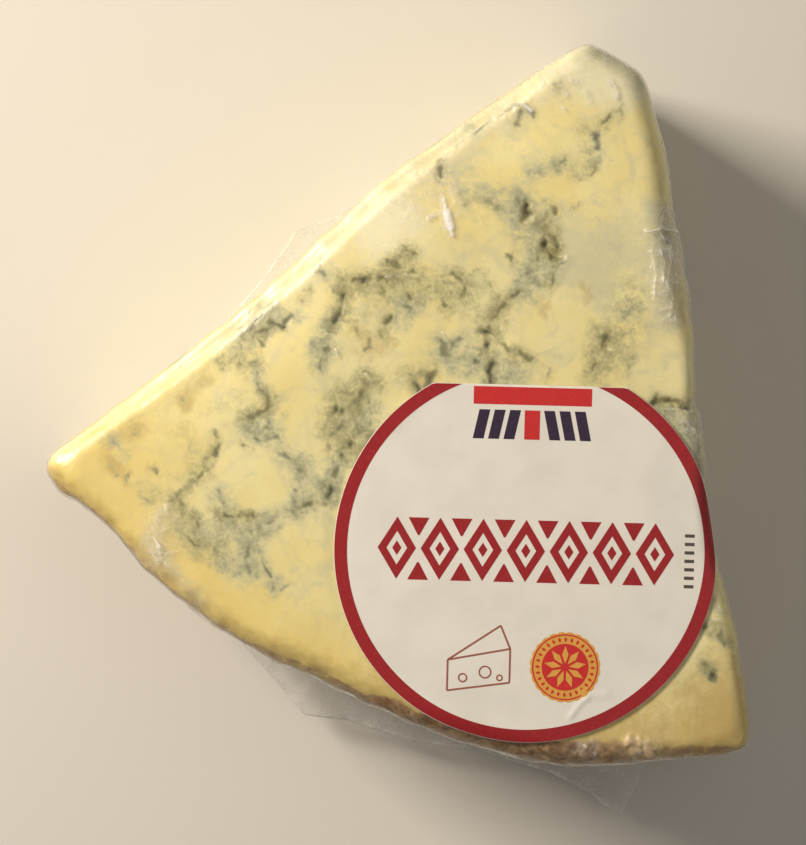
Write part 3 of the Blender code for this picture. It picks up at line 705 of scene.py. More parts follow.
@dataclass(frozen=True)
class VeinField:
    """How much mould, stain and crust each point of the cheese shows, and where a painted
    highlight lightens the paste.
    """

    veins: tuple[Vein, ...] = tuple(Vein(*row) for row in VEIN_ROWS)
    crust_widths: tuple[Span, ...] = (
        *((50, 0.7), (250, 1.0), (340, 1.3), (420, 2.4), (480, 3.2)),
        *((560, 3.6), (620, 3.9), (655, 3.4), (700, 2.2), (740, 1.2)),
    )
    top_start: float = 5.0 * MM
    top_full: float = 2.5 * MM
    sways: tuple[Span, ...] = ((3.2 * MM, 5.0), (1.3 * MM, 3.0), (0.6 * MM, 1.6))
    core_grain: float = 1.4 * MM
    stain_reach: float = 1.55
    skirt_reach: Span = (3.2, 0.4)
    skirt_share: float = 0.05
    crack_least: float = 3.2
    knob_full: float = 0.28
    wall_sway: float = 2 * MM
    wall_sway_grain: float = 7 * MM
    ridge_grain: float = 13 * MM
    wall_crack: float = 0.3
    rag_coarse: Relief = Relief(0.7 * MM, 4 * MM, 7.0)
    rag_fine: Relief = Relief(0.4 * MM, 1.5 * MM, 9.0)
    thin_until: Span = (300.0, 420.0)
    thin_from: Span = (585.0, 635.0)
    warm_reach: Span = (15 * MM, 1 * MM)
    left_corner: Span = (60.0, 465.0)
    left_corner_spread: Span = (230.0, 20.0)
    tan_across: Span = (620.0, 735.0)
    tan_down: Span = (600.0, 720.0)
    left_rim_highlight_grows: Span = (150.0, 330.0)
    tip_place: Span = (610.0, 50.0)
    tip_spread: Span = (95.0, 20.0)
    lit_place: Span = (386.0, 218.0)
    lit_spread: Span = (74.0, 12.0)

    def wandered(self, points: Array) -> Array:
        """Give the photograph places of the points, shifted so that straight routes wander."""
        seen = SHOT.seen(points)
        flat = points * np.array((1.0, 1.0, 0.0))
        for wavelength, sway in self.sways:
            seen[:, 0] += sway * rough(flat, wavelength, 11.0)
            seen[:, 1] += sway * rough(flat, wavelength, 23.0)
        return seen

    def near_core(self, points: Array, room: float) -> Array:
        """Tell which points lie within some pixels of a dark core."""
        seen = self.wandered(points)
        close = np.zeros(len(points), dtype=bool)
        for vein in self.veins:
            if vein.core > 0.5:
                close |= route_distance(seen, vein.route) < vein.core + room
        return close

    def on_top(self, points: Array) -> Array:
        """Give 1 on the top cut and 0 on the walls below its edge."""
        start = FORM.thickness - self.top_start
        return smooth_step(start, FORM.thickness - self.top_full, points[:, 2])

    def masks(self, points: Array) -> dict[str, Array]:
        """Work out each mask of the cheese, and the depth of its open cracks.

        Args:
            points: One point of the cheese a row.

        Returns:
            The masks by name, and under "depth" how far the cracks open, in metres.
        """
        seen = self.wandered(points)
        flat = points * np.array((1.0, 1.0, 0.0))
        patchy = np.clip(0.66 + 1.9 * rough(flat, self.core_grain, 29.0), 0.1, 1.2)
        clear = {tone: np.ones(len(points)) for tone in Tone}
        core = np.zeros(len(points))
        depth = np.zeros(len(points))
        for vein in self.veins:
            away = route_distance(seen, vein.route)
            stain = vein.strength * smooth_step(self.stain_reach * vein.stain, 0.0, away)
            far, near = (reach * vein.stain for reach in self.skirt_reach)
            skirt = self.skirt_share * vein.strength * smooth_step(far, near, away)
            clear[vein.tone] *= (1.0 - stain) * (1.0 - skirt)
            if vein.core > 0.0:
                dark = np.exp(-((away / (1.4 * vein.core + 1.4)) ** 2))
                core = np.maximum(core, dark * min(1.0, 0.42 + vein.core / 4) * patchy)
            if vein.depth > 0.0:
                spread = max(1.5 * vein.core, self.crack_least)
                opening = vein.depth * MM * np.exp(-((away / spread) ** 2))
                depth = np.maximum(depth, opening)
        grown = 1.0 - clear[OLIVE] * clear[BLUE]
        found = {
            "mould": np.maximum(0.66 * grown, 0.3 * grown + core),
            "blueness": (1.0 - clear[BLUE]) / np.maximum(2.0 - clear[BLUE] - clear[OLIVE], 0.05),
            "browned": 1.0 - clear[BROWN],
            "milk": 1.0 - clear[MILK],
            "depth": depth,
        }
        top = self.on_top(points)
        walls = self.wall_veins(points)
        for name in found:
            found[name] = found[name] * top + walls[name] * (1.0 - top)
        found["knobs"] = FORM.knobbed(points) / self.knob_full
        found.update(self.rind_masks(points))
        return found

    def wall_veins(self, points: Array) -> dict[str, Array]:
        """Give the veins of the walls and the underside, which run on through the paste.

        Args:
            points: One point of the cheese a row.

        Returns:
            The masks of the mould and the stains by name, and the depth of the cracks.
        """
        seeds = (31, 37, 41)
        sway = [self.wall_sway * rough(points, self.wall_sway_grain, seed) for seed in seeds]
        swayed = points + np.stack(sway, axis=1)
        ridge = 1.0 - np.abs(rough(swayed, self.ridge_grain, 5.0)) * 5.0
        zone = smooth_step(-0.15, 0.35, rough(points, 22 * MM, 61.0))
        broken = np.clip(0.9 + 1.6 * rough(points, 2.4 * MM, 71.0), 0.1, 1.1)
        core = smooth_step(0.45, 0.95, ridge) * zone * broken
        stain = smooth_step(-0.6, 0.9, ridge) * zone
        return {
            "mould": np.maximum(0.55 * stain, 0.2 * stain + 0.8 * core),
            "blueness": smooth_step(0.15, -0.15, rough(points, 6 * MM, 73.0)),
            "browned": zone * smooth_step(0.2, 0.5, rough(points, 9 * MM, 83.0)) * 0.6,
            "milk": smooth_step(0.0, 0.5, rough(points, 11 * MM, 97.0)) * 0.6,
            "depth": core * self.wall_crack * MM,
        }

    def rind_masks(self, points: Array) -> dict[str, Array]:
        """Give where the brown crust covers the cheese, where the paste changes colour and where a
        painted highlight lightens it.

        Args:
            points: One point of the cheese a row.

        Returns:
            The masks by name: the crust, the warmer and browner paste near the rind, and the
            paler paste at the tip, with a painted highlight along the lit left rim and at the
            brightest place.
        """
        left, _, rind, _ = FORM.wall_depths(points[:, 0], points[:, 1])
        ragged = self.rag_coarse.at(points) + self.rag_fine.at(points)
        seen = SHOT.seen(points)
        places = [width[0] for width in self.crust_widths]
        reach = np.interp(seen[:, 0], places, [width[1] * MM for width in self.crust_widths])
        thin = 0.5 - 0.5 * smooth_step(*self.thin_until, seen[:, 0])
        thin += 0.38 * smooth_step(*self.thin_from, seen[:, 0])
        covered = smooth_step(1.25, 0.6, (rind + ragged) / reach)
        crust = (1.0 - thin * self.on_top(points)) * covered
        warm = smooth_step(*self.warm_reach, rind + 3 * ragged) * 0.85
        from_corner = np.linalg.norm(seen - np.array(self.left_corner), axis=1)
        warm = np.maximum(warm, 0.75 * smooth_step(*self.left_corner_spread, from_corner))
        tan = smooth_step(*self.tan_across, seen[:, 0]) * smooth_step(*self.tan_down, seen[:, 1])
        tan = np.maximum(1.05 * tan, 0.7 * smooth_step(4.5, 1.0, (rind + ragged) / reach))
        # The pale mask is the paste's own paler tip, plus a painted highlight along the left rim
        # and at the place that faces the key light most.
        reach_in = (2.5 + 5.5 * smooth_step(*self.left_rim_highlight_grows, seen[:, 0])) * MM
        near_left = smooth_step(1.0, 0.1, (left + ragged) / reach_in) * self.on_top(points)
        from_tip = np.linalg.norm(seen - np.array(self.tip_place), axis=1)
        pale = np.maximum(0.55 * near_left, smooth_step(*self.tip_spread, from_tip))
        from_lit = np.linalg.norm(seen - np.array(self.lit_place), axis=1)
        pale = np.maximum(pale, 0.8 * smooth_step(*self.lit_spread, from_lit))
        return {"crust": crust, "warmth": warm, "tan": tan, "pale": pale}


def add_piece(
    name: str, mesh: Mesh, node: str, materials: Sequence[Material]
) -> Thing:
    """Put a finished mesh in the scene as a piece of the wedge.

    Args:
        name: The piece's name.
        mesh: Its mesh, in the part's frame.
        node: The solid that it stands for.
        materials: Its materials, in slot order.

    Returns:
        The piece.
    """
    mesh.name = name
    mesh.materials.clear()
    for material in materials:
        mesh.materials.append(material)
    mesh.polygons.foreach_set("use_smooth", [True] * len(mesh.polygons))
    piece = add_thing(name, mesh)
    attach(piece, BODY)
    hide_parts(node)
    LOG.info("%s: %d faces", name, len(mesh.polygons))
    return piece


def read_points(mesh: Mesh) -> Array:
    """Read a mesh's vertices, one a row."""
    flat = np.empty(len(mesh.vertices) * 3)
    mesh.vertices.foreach_get("co", flat)
    return flat.reshape(-1, 3)


def write_points(mesh: Mesh, points: Array) -> None:
    """Move a mesh's vertices."""
    mesh.vertices.foreach_set("co", points.ravel())
    mesh.update()


def read_normals(mesh: Mesh) -> Array:
    """Read a mesh's vertex normals, one a row."""
    flat = np.empty(len(mesh.vertices) * 3)
    mesh.vertex_normals.foreach_get("vector", flat)
    return flat.reshape(-1, 3)


def write_mask(mesh: Mesh, name: str, values: Array) -> None:
    """Keep a value for each vertex under a name that materials can read."""
    layer = mesh.attributes.new(name, "FLOAT", "POINT")
    layer.data.foreach_set("value", values.astype(np.float32))


def split_faces(shape: bmesh.types.BMesh, chosen: FaceRule) -> None:
    """Split each side of the chosen faces in two.

    Args:
        shape: The mesh to refine.
        chosen: Takes the faces' centres, one a row, and tells which faces to split.
    """
    centres = np.array([face.calc_center_median() for face in shape.faces])
    wanted = chosen(centres)
    edges = {edge for face, take in zip(shape.faces, wanted) if take for edge in face.edges}
    bmesh.ops.subdivide_edges(shape, edges=list(edges), cuts=1, use_grid_fill=True)


def refine(mesh: Mesh, rules: Sequence[FaceRule]) -> None:
    """Split the faces that each rule chooses, one rule after another, and leave triangles."""
    shape = bmesh.new()
    shape.from_mesh(mesh)
    for rule in rules:
        split_faces(shape, rule)
    bmesh.ops.triangulate(shape, faces=shape.faces)
    shape.to_mesh(mesh)
    shape.free()


def thickened(mesh: Mesh, thickness: float, offset: float) -> Mesh:
    """Give a sheet its thickness.

    Args:
        mesh: The sheet.
        thickness: How thick it becomes, in metres.
        offset: The side that it grows to: 1.0 for its front, 0.0 for both.

    Returns:
        The solid sheet.
    """
    sheet = add_thing(mesh.name, mesh)
    wall = sheet.modifiers.new("thickness", "SOLIDIFY")
    wall.thickness = thickness
    wall.offset = offset
    return evaluated_mesh(sheet)


def mapped_grid(
    shape: bmesh.types.BMesh,
    columns: int,
    rows: int,
    place: PlaceRule,
    material: int = 0,
) -> None:
    """Add a grid whose unit square is laid out by a formula.

    Args:
        shape: The mesh that takes the grid.
        columns: The number of cells across.
        rows: The number of cells up.
        place: Takes places across and up, from 0 to 1, and gives one point a row.
        material: The material slot of the grid's faces.
    """
    before = set(shape.faces)
    made = bmesh.ops.create_grid(shape, x_segments=columns, y_segments=rows, size=0.5)
    verts = made["verts"]
    across = np.array([vert.co.x + 0.5 for vert in verts])
    up = np.array([vert.co.y + 0.5 for vert in verts])
    for vert, point in zip(verts, place(across, up)):
        vert.co = point
    for face in set(shape.faces) - before:
        face.material_index = material


class NodeSheet:
    """Adds and joins the nodes of one material or node group."""

    def __init__(self, tree: bpy.types.NodeTree) -> None:
        """Start with an empty tree."""
        self.tree = tree
        tree.nodes.clear()

    def add(self, kind: str, **settings: object) -> bpy.types.Node:
        """Add a node and set its properties."""
        node = self.tree.nodes.new(kind)
        for name, value in settings.items():
            setattr(node, name, value)
        return node

    def feed(self, socket: Socket, value: object) -> None:
        """Join an output to a socket, or set the socket to a plain value."""
        if isinstance(value, Socket):
            self.tree.links.new(value, socket)
        elif isinstance(value, tuple) and len(value) == 3 and socket.type == "RGBA":
            socket.default_value = (*value, 1.0)
        else:
            socket.default_value = value

    def math(self, operation: str, *values: object, clamp: bool = False) -> Socket:
        """Work out a sum, product or other operation of values."""
        node = self.add("ShaderNodeMath", operation=operation, use_clamp=clamp)
        for socket, value in zip(node.inputs, values):
            self.feed(socket, value)
        return node.outputs[0]

    def rise(self, value: object, low: float, high: float, top: float = 1.0) -> Socket:
        """Rise softly from 0 to a top value as a value goes from low to high."""
        node = self.add("ShaderNodeMapRange", interpolation_type="SMOOTHSTEP")
        for socket, given in zip(node.inputs, (value, low, high, 0.0, top)):
            self.feed(socket, given)
        return node.outputs[0]

    def blend(self, share: object, under: object, over: object, kind: str = "MIX") -> Socket:
        """Lay one colour over another by a share."""
        node = self.add("ShaderNodeMix", data_type="RGBA", blend_type=kind, clamp_result=False)
        self.feed(node.inputs["Factor"], share)
        colours = [socket for socket in node.inputs if socket.type == "RGBA"]
        self.feed(colours[0], under)
        self.feed(colours[1], over)
        return next(socket for socket in node.outputs if socket.type == "RGBA")

    def noise(
        self,
        place: Socket,
        size: float,
        detail: float = 2.0,
        roughness: float = 0.5,
        distortion: float = 0.0,
    ) -> Socket:
        """Give cloudy noise around one half.

        Args:
            place: Where the noise is read.
            size: How far apart its lumps are, in metres.
            detail: How many finer layers it has.
            roughness: How strong the finer layers are.
            distortion: How much it is twisted.

        Returns:
            The noise.
        """
        node = self.add("ShaderNodeTexNoise", noise_dimensions="3D")
        self.feed(node.inputs["Vector"], place)
        node.inputs["Scale"].default_value = 1.0 / size
        node.inputs["Detail"].default_value = detail
        node.inputs["Roughness"].default_value = roughness
        node.inputs["Distortion"].default_value = distortion
        return node.outputs["Fac"]

    def mask(self, name: str) -> Socket:
        """Read a named value that the mesh keeps for each vertex."""
        return self.add("ShaderNodeAttribute", attribute_name=name).outputs["Fac"]

    def broken(self, name: str, noise_value: Socket) -> Socket:
        """Read a named value and break its border up with noise around one half."""
        return self.math("ADD", self.mask(name), self.math("SUBTRACT", noise_value, 0.5))

    def place(self) -> Socket:
        """Give the point's place on the object, in metres."""
        return self.add("ShaderNodeTexCoord").outputs["Object"]

    def group(self, tree: bpy.types.NodeTree, **values: object) -> bpy.types.Node:
        """Add a shader group and feed its inputs by name."""
        node = self.add("ShaderNodeGroup", node_tree=tree)
        for name, value in values.items():
            self.feed(node.inputs[name.replace("_", " ").title()], value)
        return node

    def principled(self, **values: object) -> bpy.types.Node:
        """Add the surface shader, feed it and join it to the material's output."""
        shader = self.add("ShaderNodeBsdfPrincipled")
        shader.subsurface_method = "BURLEY"
        for name, value in values.items():
            self.feed(shader.inputs[name.replace("_", " ").title().replace("Ior", "IOR")], value)
        output = self.add("ShaderNodeOutputMaterial")
        self.feed(output.inputs["Surface"], shader.outputs["BSDF"])
        return shader


def new_material(name: str) -> tuple[Material, NodeSheet]:
    """Make a material with an empty node tree."""
    material = bpy.data.materials.new(name)
    material.use_nodes = True
    return material, NodeSheet(material.node_tree)


class GrainGroup:
    """A shader group that roughens a surface with fine grain; cheese, crust and paper use it."""

    def __init__(self) -> None:
        """Build the group's tree."""
        self.tree = bpy.data.node_groups.new("fine_grain", "ShaderNodeTree")
        self.tree.interface.new_socket("Place", in_out="INPUT", socket_type="NodeSocketVector")
        for name in ("Scale", "Strength", "Height"):
            self.tree.interface.new_socket(name, in_out="INPUT", socket_type="NodeSocketFloat")
        self.tree.interface.new_socket("Normal", in_out="OUTPUT", socket_type="NodeSocketVector")
        sheet = NodeSheet(self.tree)
        given = sheet.add("NodeGroupInput")
        texture = sheet.add("ShaderNodeTexNoise")
        texture.inputs["Detail"].default_value = 4.0
        sheet.feed(texture.inputs["Vector"], given.outputs["Place"])
        sheet.feed(texture.inputs["Scale"], given.outputs["Scale"])
        bump = sheet.add("ShaderNodeBump")
        bump.inputs["Distance"].default_value = 0.1 * MM
        sheet.feed(bump.inputs["Strength"], given.outputs["Strength"])
        total = sheet.math("ADD", texture.outputs["Fac"], given.outputs["Height"])
        sheet.feed(bump.inputs["Height"], total)
        output = sheet.add("NodeGroupOutput")
        sheet.feed(output.inputs["Normal"], bump.outputs["Normal"])


@dataclass(frozen=True)
class CheeseFinish:
    """The moist paste with its mould, and the dry crust of the rind.

    A pair of a border is where a colour starts to show and where it is full; a third number is
    its greatest share.
    """

    pale: Triple = (0.90, 0.83, 0.45)
    yellow: Triple = (0.90, 0.79, 0.355)
    warm: Triple = (0.86, 0.685, 0.225)
    milk: Triple = (0.67, 0.65, 0.42)
    tan: Triple = (0.60, 0.44, 0.15)
    olive: tuple[Triple, Triple] = ((0.54, 0.51, 0.27), (0.25, 0.235, 0.11))
    blue: tuple[Triple, Triple] = ((0.56, 0.56, 0.365), (0.27, 0.272, 0.16))
    brown: Triple = (0.58, 0.44, 0.17)
    # The cream colour is the paler tip's own, and also the painted highlight of the left rim and
    # the brightest place.
    cream_and_highlight: Triple = (0.92, 0.88, 0.62)
    dark: Triple = (0.085, 0.088, 0.045)
    crust: Triple = (0.21, 0.11, 0.04)
    bloom: Triple = (0.44, 0.28, 0.14)
    curd: Triple = (0.74, 0.53, 0.30)
    speck_size: float = 0.45 * MM
    cloud_size: float = 1.5 * MM
    mottle_size: float = 3.4 * MM
    broad_size: float = 10 * MM
    curd_size: float = 8 * MM
    sway_size: float = 6 * MM
    sway: float = 4 * MM
    bloom_clouds: Span = (0.38, 0.62)
    bloom_specks: Triple = (0.55, 0.75, 0.6)
    crust_border: Span = (0.3, 0.75)
    knob_border: Triple = (0.2, 1.1, 0.85)
    pale_patches: Span = (0.36, 0.64)
    milky_mottle: Triple = (0.5, 0.72, 0.55)
    warm_mottle: Triple = (0.46, 0.3, 0.18)
    seam_border: Triple = (0.09, 0.0, 0.5)
    warm_border: Triple = (0.25, 1.15, 0.9)
    stain_border: Triple = (0.05, 0.9, 0.9)
    tan_border: Triple = (0.05, 1.0, 0.85)
    blue_border: Span = (0.2, 0.8)
    patch_depth: float = 1.35
    speck_depth: float = 0.55
    ragged_from: Span = (0.0, 0.3)
    soft_share: float = 0.72
    brown_border: Triple = (0.1, 0.95, 0.65)
    haze_border: Triple = (0.03, 0.54, 0.93)
    growth_border: Triple = (0.32, 0.95, 0.94)
    dark_border: Span = (0.94, 1.42)
    moist: float = 0.42
    dry_crust: float = 0.35

    def material(self, grain: GrainGroup) -> Material:
        """Build the cheese's material.

        Args:
            grain: The fine grain of its surface.

        Returns:
            The material.
        """
        material, sheet = new_material("cheese_paste")
        place = sheet.place()
        fine = sheet.noise(place, self.speck_size, 3.0, 0.6)
        cloud = sheet.noise(place, self.cloud_size, 4.0, 0.62, 0.5)
        colour = self.paste(sheet, place, cloud)
        colour = self.moulded(sheet, colour, cloud, fine)
        crusty = sheet.blend(sheet.rise(cloud, *self.bloom_clouds), self.crust, self.bloom)
        crusty = sheet.blend(sheet.rise(fine, *self.bloom_specks), crusty, self.bloom)
        crust_share = sheet.rise(sheet.broken("crust", cloud), *self.crust_border)
        rim = sheet.blend(crust_share, colour, crusty)
        knob = sheet.rise(sheet.broken("knobs", fine), *self.knob_border)
        rim = sheet.blend(knob, rim, self.curd)
        normal = sheet.group(
            grain.tree, place=place, scale=1.0 / self.speck_size, strength=0.35, height=0.0
        )
        dry = sheet.math("MULTIPLY", crust_share, self.dry_crust)
        sheet.principled(
            base_color=rim,
            roughness=sheet.math("ADD", self.moist, dry),
            normal=normal.outputs["Normal"],
            subsurface_weight=0.35,
            subsurface_radius=(1.0, 0.75, 0.35),
            subsurface_scale=2.0 * MM,
        )
        return material

    def paste(self, sheet: NodeSheet, place: Socket, cloud: Socket) -> Socket:
        """Colour the clean paste: pale and yellow curds with milky seams, warmer near the rind,
        and lightened by a painted highlight along the left rim and at its brightest place.

        Args:
            sheet: The material's tree.
            place: The place on the object.
            cloud: Noise that breaks the borders of the colours.

        Returns:
            The colour of the clean paste.
        """
        broad = sheet.noise(place, self.broad_size, 2.0)
        mottle = sheet.noise(place, self.mottle_size, 4.0, 0.62, 0.8)
        paste = sheet.blend(sheet.rise(broad, *self.pale_patches), self.yellow, self.pale)
        paste = sheet.blend(sheet.rise(mottle, *self.milky_mottle), paste, self.milk)
        paste = sheet.blend(sheet.rise(mottle, *self.warm_mottle), paste, self.warm)
        curds = sheet.add("ShaderNodeTexVoronoi", feature="DISTANCE_TO_EDGE")
        curds.inputs["Scale"].default_value = 1.0 / self.curd_size
        sheet.feed(curds.inputs["Vector"], self.swayed(sheet, place))
        seam = sheet.rise(curds.outputs["Distance"], *self.seam_border)
        paste = sheet.blend(sheet.math("MULTIPLY", seam, cloud), paste, self.milk)
        warmth = sheet.math("ADD", sheet.mask("warmth"), sheet.math("MULTIPLY", cloud, 0.35))
        paste = sheet.blend(sheet.rise(warmth, *self.warm_border), paste, self.warm)
        stains = (
            # The pale stain paints the paler tip and a painted highlight along the lit left rim.
            ("pale", self.stain_border, self.cream_and_highlight),
            ("milk", self.stain_border, self.milk),
            ("tan", self.tan_border, self.tan),
        )
        for name, border, colour in stains:
            paste = sheet.blend(sheet.rise(sheet.broken(name, cloud), *border), paste, colour)
        return paste

    def moulded(self, sheet: NodeSheet, paste: Socket, cloud: Socket, fine: Socket) -> Socket:
        """Lay the mould over the paste, from a thin haze to the dark of open veins.

        Args:
            sheet: The material's tree.
            paste: The clean paste's colour.
            cloud: Noise that breaks the mould into patches.
            fine: Noise that speckles it.

        Returns:
            The colour of the moulded paste.
        """
        mould = sheet.mask("mould")
        blueness = sheet.rise(sheet.mask("blueness"), *self.blue_border)
        patches = sheet.math("MULTIPLY", sheet.math("SUBTRACT", cloud, 0.5), self.patch_depth)
        specks = sheet.math("MULTIPLY", sheet.math("SUBTRACT", fine, 0.5), self.speck_depth)
        speckled = sheet.math("ADD", patches, specks)
        ragged = sheet.math("MULTIPLY", speckled, sheet.rise(mould, *self.ragged_from))
        dense = sheet.math("ADD", mould, ragged)
        brown = sheet.math("ADD", sheet.mask("browned"), patches)
        colour = sheet.blend(sheet.rise(brown, *self.brown_border), paste, self.brown)
        haze = sheet.blend(blueness, self.olive[0], self.blue[0])
        soft = sheet.math("ADD", mould, sheet.math("MULTIPLY", ragged, self.soft_share))
        colour = sheet.blend(sheet.rise(soft, *self.haze_border), colour, haze)
        growth = sheet.blend(blueness, self.olive[1], self.blue[1])
        colour = sheet.blend(sheet.rise(dense, *self.growth_border), colour, growth)
        return sheet.blend(sheet.rise(dense, *self.dark_border), colour, self.dark)

    def swayed(self, sheet: NodeSheet, place: Socket) -> Socket:
        """Shift places by soft noise, so that the seams between curds wander."""
        texture = sheet.add("ShaderNodeTexNoise")
        texture.inputs["Scale"].default_value = 1.0 / self.sway_size
        sheet.feed(texture.inputs["Vector"], place)
        shift = sheet.add("ShaderNodeVectorMath", operation="SCALE")
        shift.inputs["Scale"].default_value = self.sway
        sheet.feed(shift.inputs[0], texture.outputs["Color"])
        total = sheet.add("ShaderNodeVectorMath", operation="ADD")
        sheet.feed(total.inputs[0], place)
        sheet.feed(total.inputs[1], shift.outputs[0])
        return total.outputs[0]


@dataclass(frozen=True)
class CheeseBody:
    """The cut cheese: an even skin, finer on the top cut and finest along its veins."""

    grain: float = 0.8 * MM
    under_film: float = 0.28 * MM
    fine_depth: float = 6.0 * MM
    vein_room: float = 4.0
    crumble: float = 0.14
    crumble_grain: float = 1.6 * MM
    crust_pits: float = 0.35
    crust_pit_grain: float = 1.7 * MM
    off_floor: float = 0.05 * MM
    field: VeinField = field(default_factory=VeinField)

    def skin(self) -> Mesh:
        """Cover the block and refine it where there is detail."""
        mesh = FORM.block("cheese", self.grain)
        refine(mesh, (FORM.near_top(self.fine_depth), self.detailed))
        return mesh

    def detailed(self, centres: Array) -> Array:
        """Choose the faces along the veins of the top cut and on the rim's broken lumps."""
        on_cut = centres[:, 2] > FORM.thickness - MM
        return on_cut & self.field.near_core(centres, self.vein_room) | FORM.on_knob(centres)

    def build(self, material: Material) -> Thing:
        """Shape the skin, open its cracks and keep its masks.

        Args:
            material: The cheese's material.

        Returns:
            The piece.
        """
        mesh = self.skin()
        write_points(mesh, FORM.rounded(read_points(mesh)))
        points = read_points(mesh)
        normals = read_normals(mesh)
        masks = self.field.masks(points)
        open_top = LABEL_SHAPE.clearing(points, normals)
        shift = FORM.lumps(points, normals) - self.under_film
        shift -= masks.pop("depth") * open_top
        crumbling = (0.5 + rough(points, self.crumble_grain, 3.0)) * masks["mould"]
        shift -= crumbling * self.crumble * MM * open_top
        pits = np.maximum(rough(points, self.crust_pit_grain, 13.0), 0.0)
        shift -= masks["crust"] * pits * self.crust_pits * MM
        moved = points + normals * shift[:, None]
        moved[:, 2] = np.maximum(moved[:, 2], self.off_floor)
        write_points(mesh, moved)
        for name, values in masks.items():
            write_mask(mesh, name, values)
        return add_piece("cheese", mesh, WEDGE_NODE, [material])


@dataclass(frozen=True)
class Crease:
    """A raised fold of the film on the top cut, along a route of photograph places.

    width is how far in pixels its flanks reach, height how far it stands up in millimetres, and
    white how far the film is whitened along it: a painted glint where the fold catches the light,
    with some milkiness of the stretched film.
    """

    route: Route
    width: float
    height: float
    white: float = 0.0


@dataclass(frozen=True)
class MilkHighlightPatch:
    """A patch of the film made milky, at a photograph place: crumpled film, with a painted sheen
    where the film catches the key light.

    crumple is how deep its small folds are, in millimetres.
    """

    x: float
    y: float
    spread: float
    strength: float
    crumple: float = 0.0

    def share(self, seen: Array) -> Array:
        """Give how much of the patch's strength reaches each photograph place."""
        away = np.hypot(seen[:, 0] - self.x, seen[:, 1] - self.y) / self.spread
        return np.exp(-away * away)


# The last number of each row is a painted glint: the film is whitened along the fold.
CREASE_ROWS = (
    ((443, 198, 446, 212, 452, 235), 6.5, 0.03, 0.85),
    ((446, 212, 450, 227), 12.0, 0.03, 0.98),
    ((430, 218, 438, 214, 447, 213), 6.5, 0.03, 0.66),
    ((449, 219, 457, 215), 5.5, 0.03, 0.6),
    ((440, 178, 452, 186, 468, 190), 3.0, 0.15, 0.3),
    ((464, 208, 478, 214, 484, 226), 2.5, 0.15, 0.3),
    ((525, 105, 531, 110), 7.5, 0.05, 0.82),
    ((562, 86, 567, 96), 6.0, 0.04, 0.58),
    ((571, 79, 576, 83), 5.5, 0.04, 0.58),
    ((586, 92, 590, 102), 5.5, 0.04, 0.52),
    ((610, 81, 614, 86, 617, 97), 6.5, 0.05, 0.68),
    ((563, 108, 567, 112), 4.0, 0.05, 0.55),
    ((386, 277, 394, 275, 400, 277), 1.6, 0.12, 0.4),
    ((406, 275, 411, 276), 1.6, 0.12, 0.5),
    ((336, 350, 338, 356), 1.8, 0.12, 0.6),
    ((366, 374, 372, 382), 2.0, 0.12, 0.6),
    ((443, 333, 446, 338), 1.8, 0.12, 0.5),
    ((648, 232, 660, 229, 674, 233), 2.8, 0.45, 0.8),
    ((657, 230, 664, 242, 673, 251), 2.6, 0.35, 0.6),
    ((652, 252, 656, 276, 654, 300), 3.0, 0.25, 0.65),
    ((660, 250, 664, 262, 662, 284), 2.4, 0.25, 0.5),
    ((666, 282, 672, 296, 670, 312), 2.4, 0.25, 0.4),
    ((676, 262, 682, 284, 688, 306), 2.2, 0.25, 0.4),
    ((648, 306, 660, 312, 672, 308), 2.4, 0.2, 0.45),
    ((664, 320, 684, 324), 2.5, 0.25, 0.3),
    ((652, 410, 672, 409, 692, 412), 2.2, 0.3, 0.55),
    ((680, 428, 690, 440, 694, 462), 2.8, 0.3, 0.35),
    ((697, 410, 700, 440, 705, 480), 3.0, 0.35, 0.3),
    ((166, 506, 168, 526, 160, 546), 5.0, 0.10, 0.5),
    ((154, 538, 160, 547), 5.0, 0.12, 0.8),
    ((150, 551, 158, 560), 5.0, 0.12, 0.7),
    ((166, 565, 180, 574, 196, 584), 3.0, 0.2, 0.35),
    ((573, 738, 584, 744, 595, 753), 3.0, 0.25, 0.6),
    ((576, 752, 584, 748, 592, 740), 2.4, 0.2, 0.4),
    ((656, 712, 655, 734, 658, 752), 3.2, 0.16, 0.12),
    ((672, 704, 670, 730, 674, 750), 3.2, 0.14, 0.10),
    ((690, 700, 692, 728, 690, 748), 3.2, 0.14, 0.10),
    ((640, 752, 652, 748, 668, 752), 3.0, 0.20, 0.3),
    ((702, 606, 712, 600, 722, 611), 2.6, 0.2, 0.5),
    ((700, 616, 712, 620, 726, 620), 2.4, 0.2, 0.35),
    ((288, 686, 290, 690), 2.0, 0.1, 0.6),
    ((328, 705, 333, 708), 2.0, 0.1, 0.6),
)
# Milky patches of the film; those along the lit left edge and on the glints are painted sheen.
MILK_HIGHLIGHT_ROWS = (
    (598, 50, 22, 0.4),
    (640, 78, 18, 0.35),
    (545, 76, 26, 0.32),
    (500, 106, 26, 0.30),
    (455, 138, 26, 0.34),
    (414, 172, 26, 0.34),
    (335, 235, 26, 0.12),
    (668, 250, 18, 0.62, 0.22),
    (664, 282, 20, 0.62, 0.22),
    (668, 312, 16, 0.56, 0.22),
    (664, 218, 14, 0.62, 0.22),
    (690, 430, 20, 0.4, 0.30),
    (704, 480, 18, 0.35, 0.20),
    (712, 540, 18, 0.3),
    (446, 188, 24, 0.36, 0.10),
    (402, 200, 30, 0.26),
    (625, 235, 28, 0.16),
    (584, 747, 14, 0.3, 0.20),
    (640, 750, 22, 0.25, 0.15),
    (158, 552, 16, 0.62, 0.10),
    (162, 526, 16, 0.5, 0.08),
    (200, 606, 16, 0.2),
)


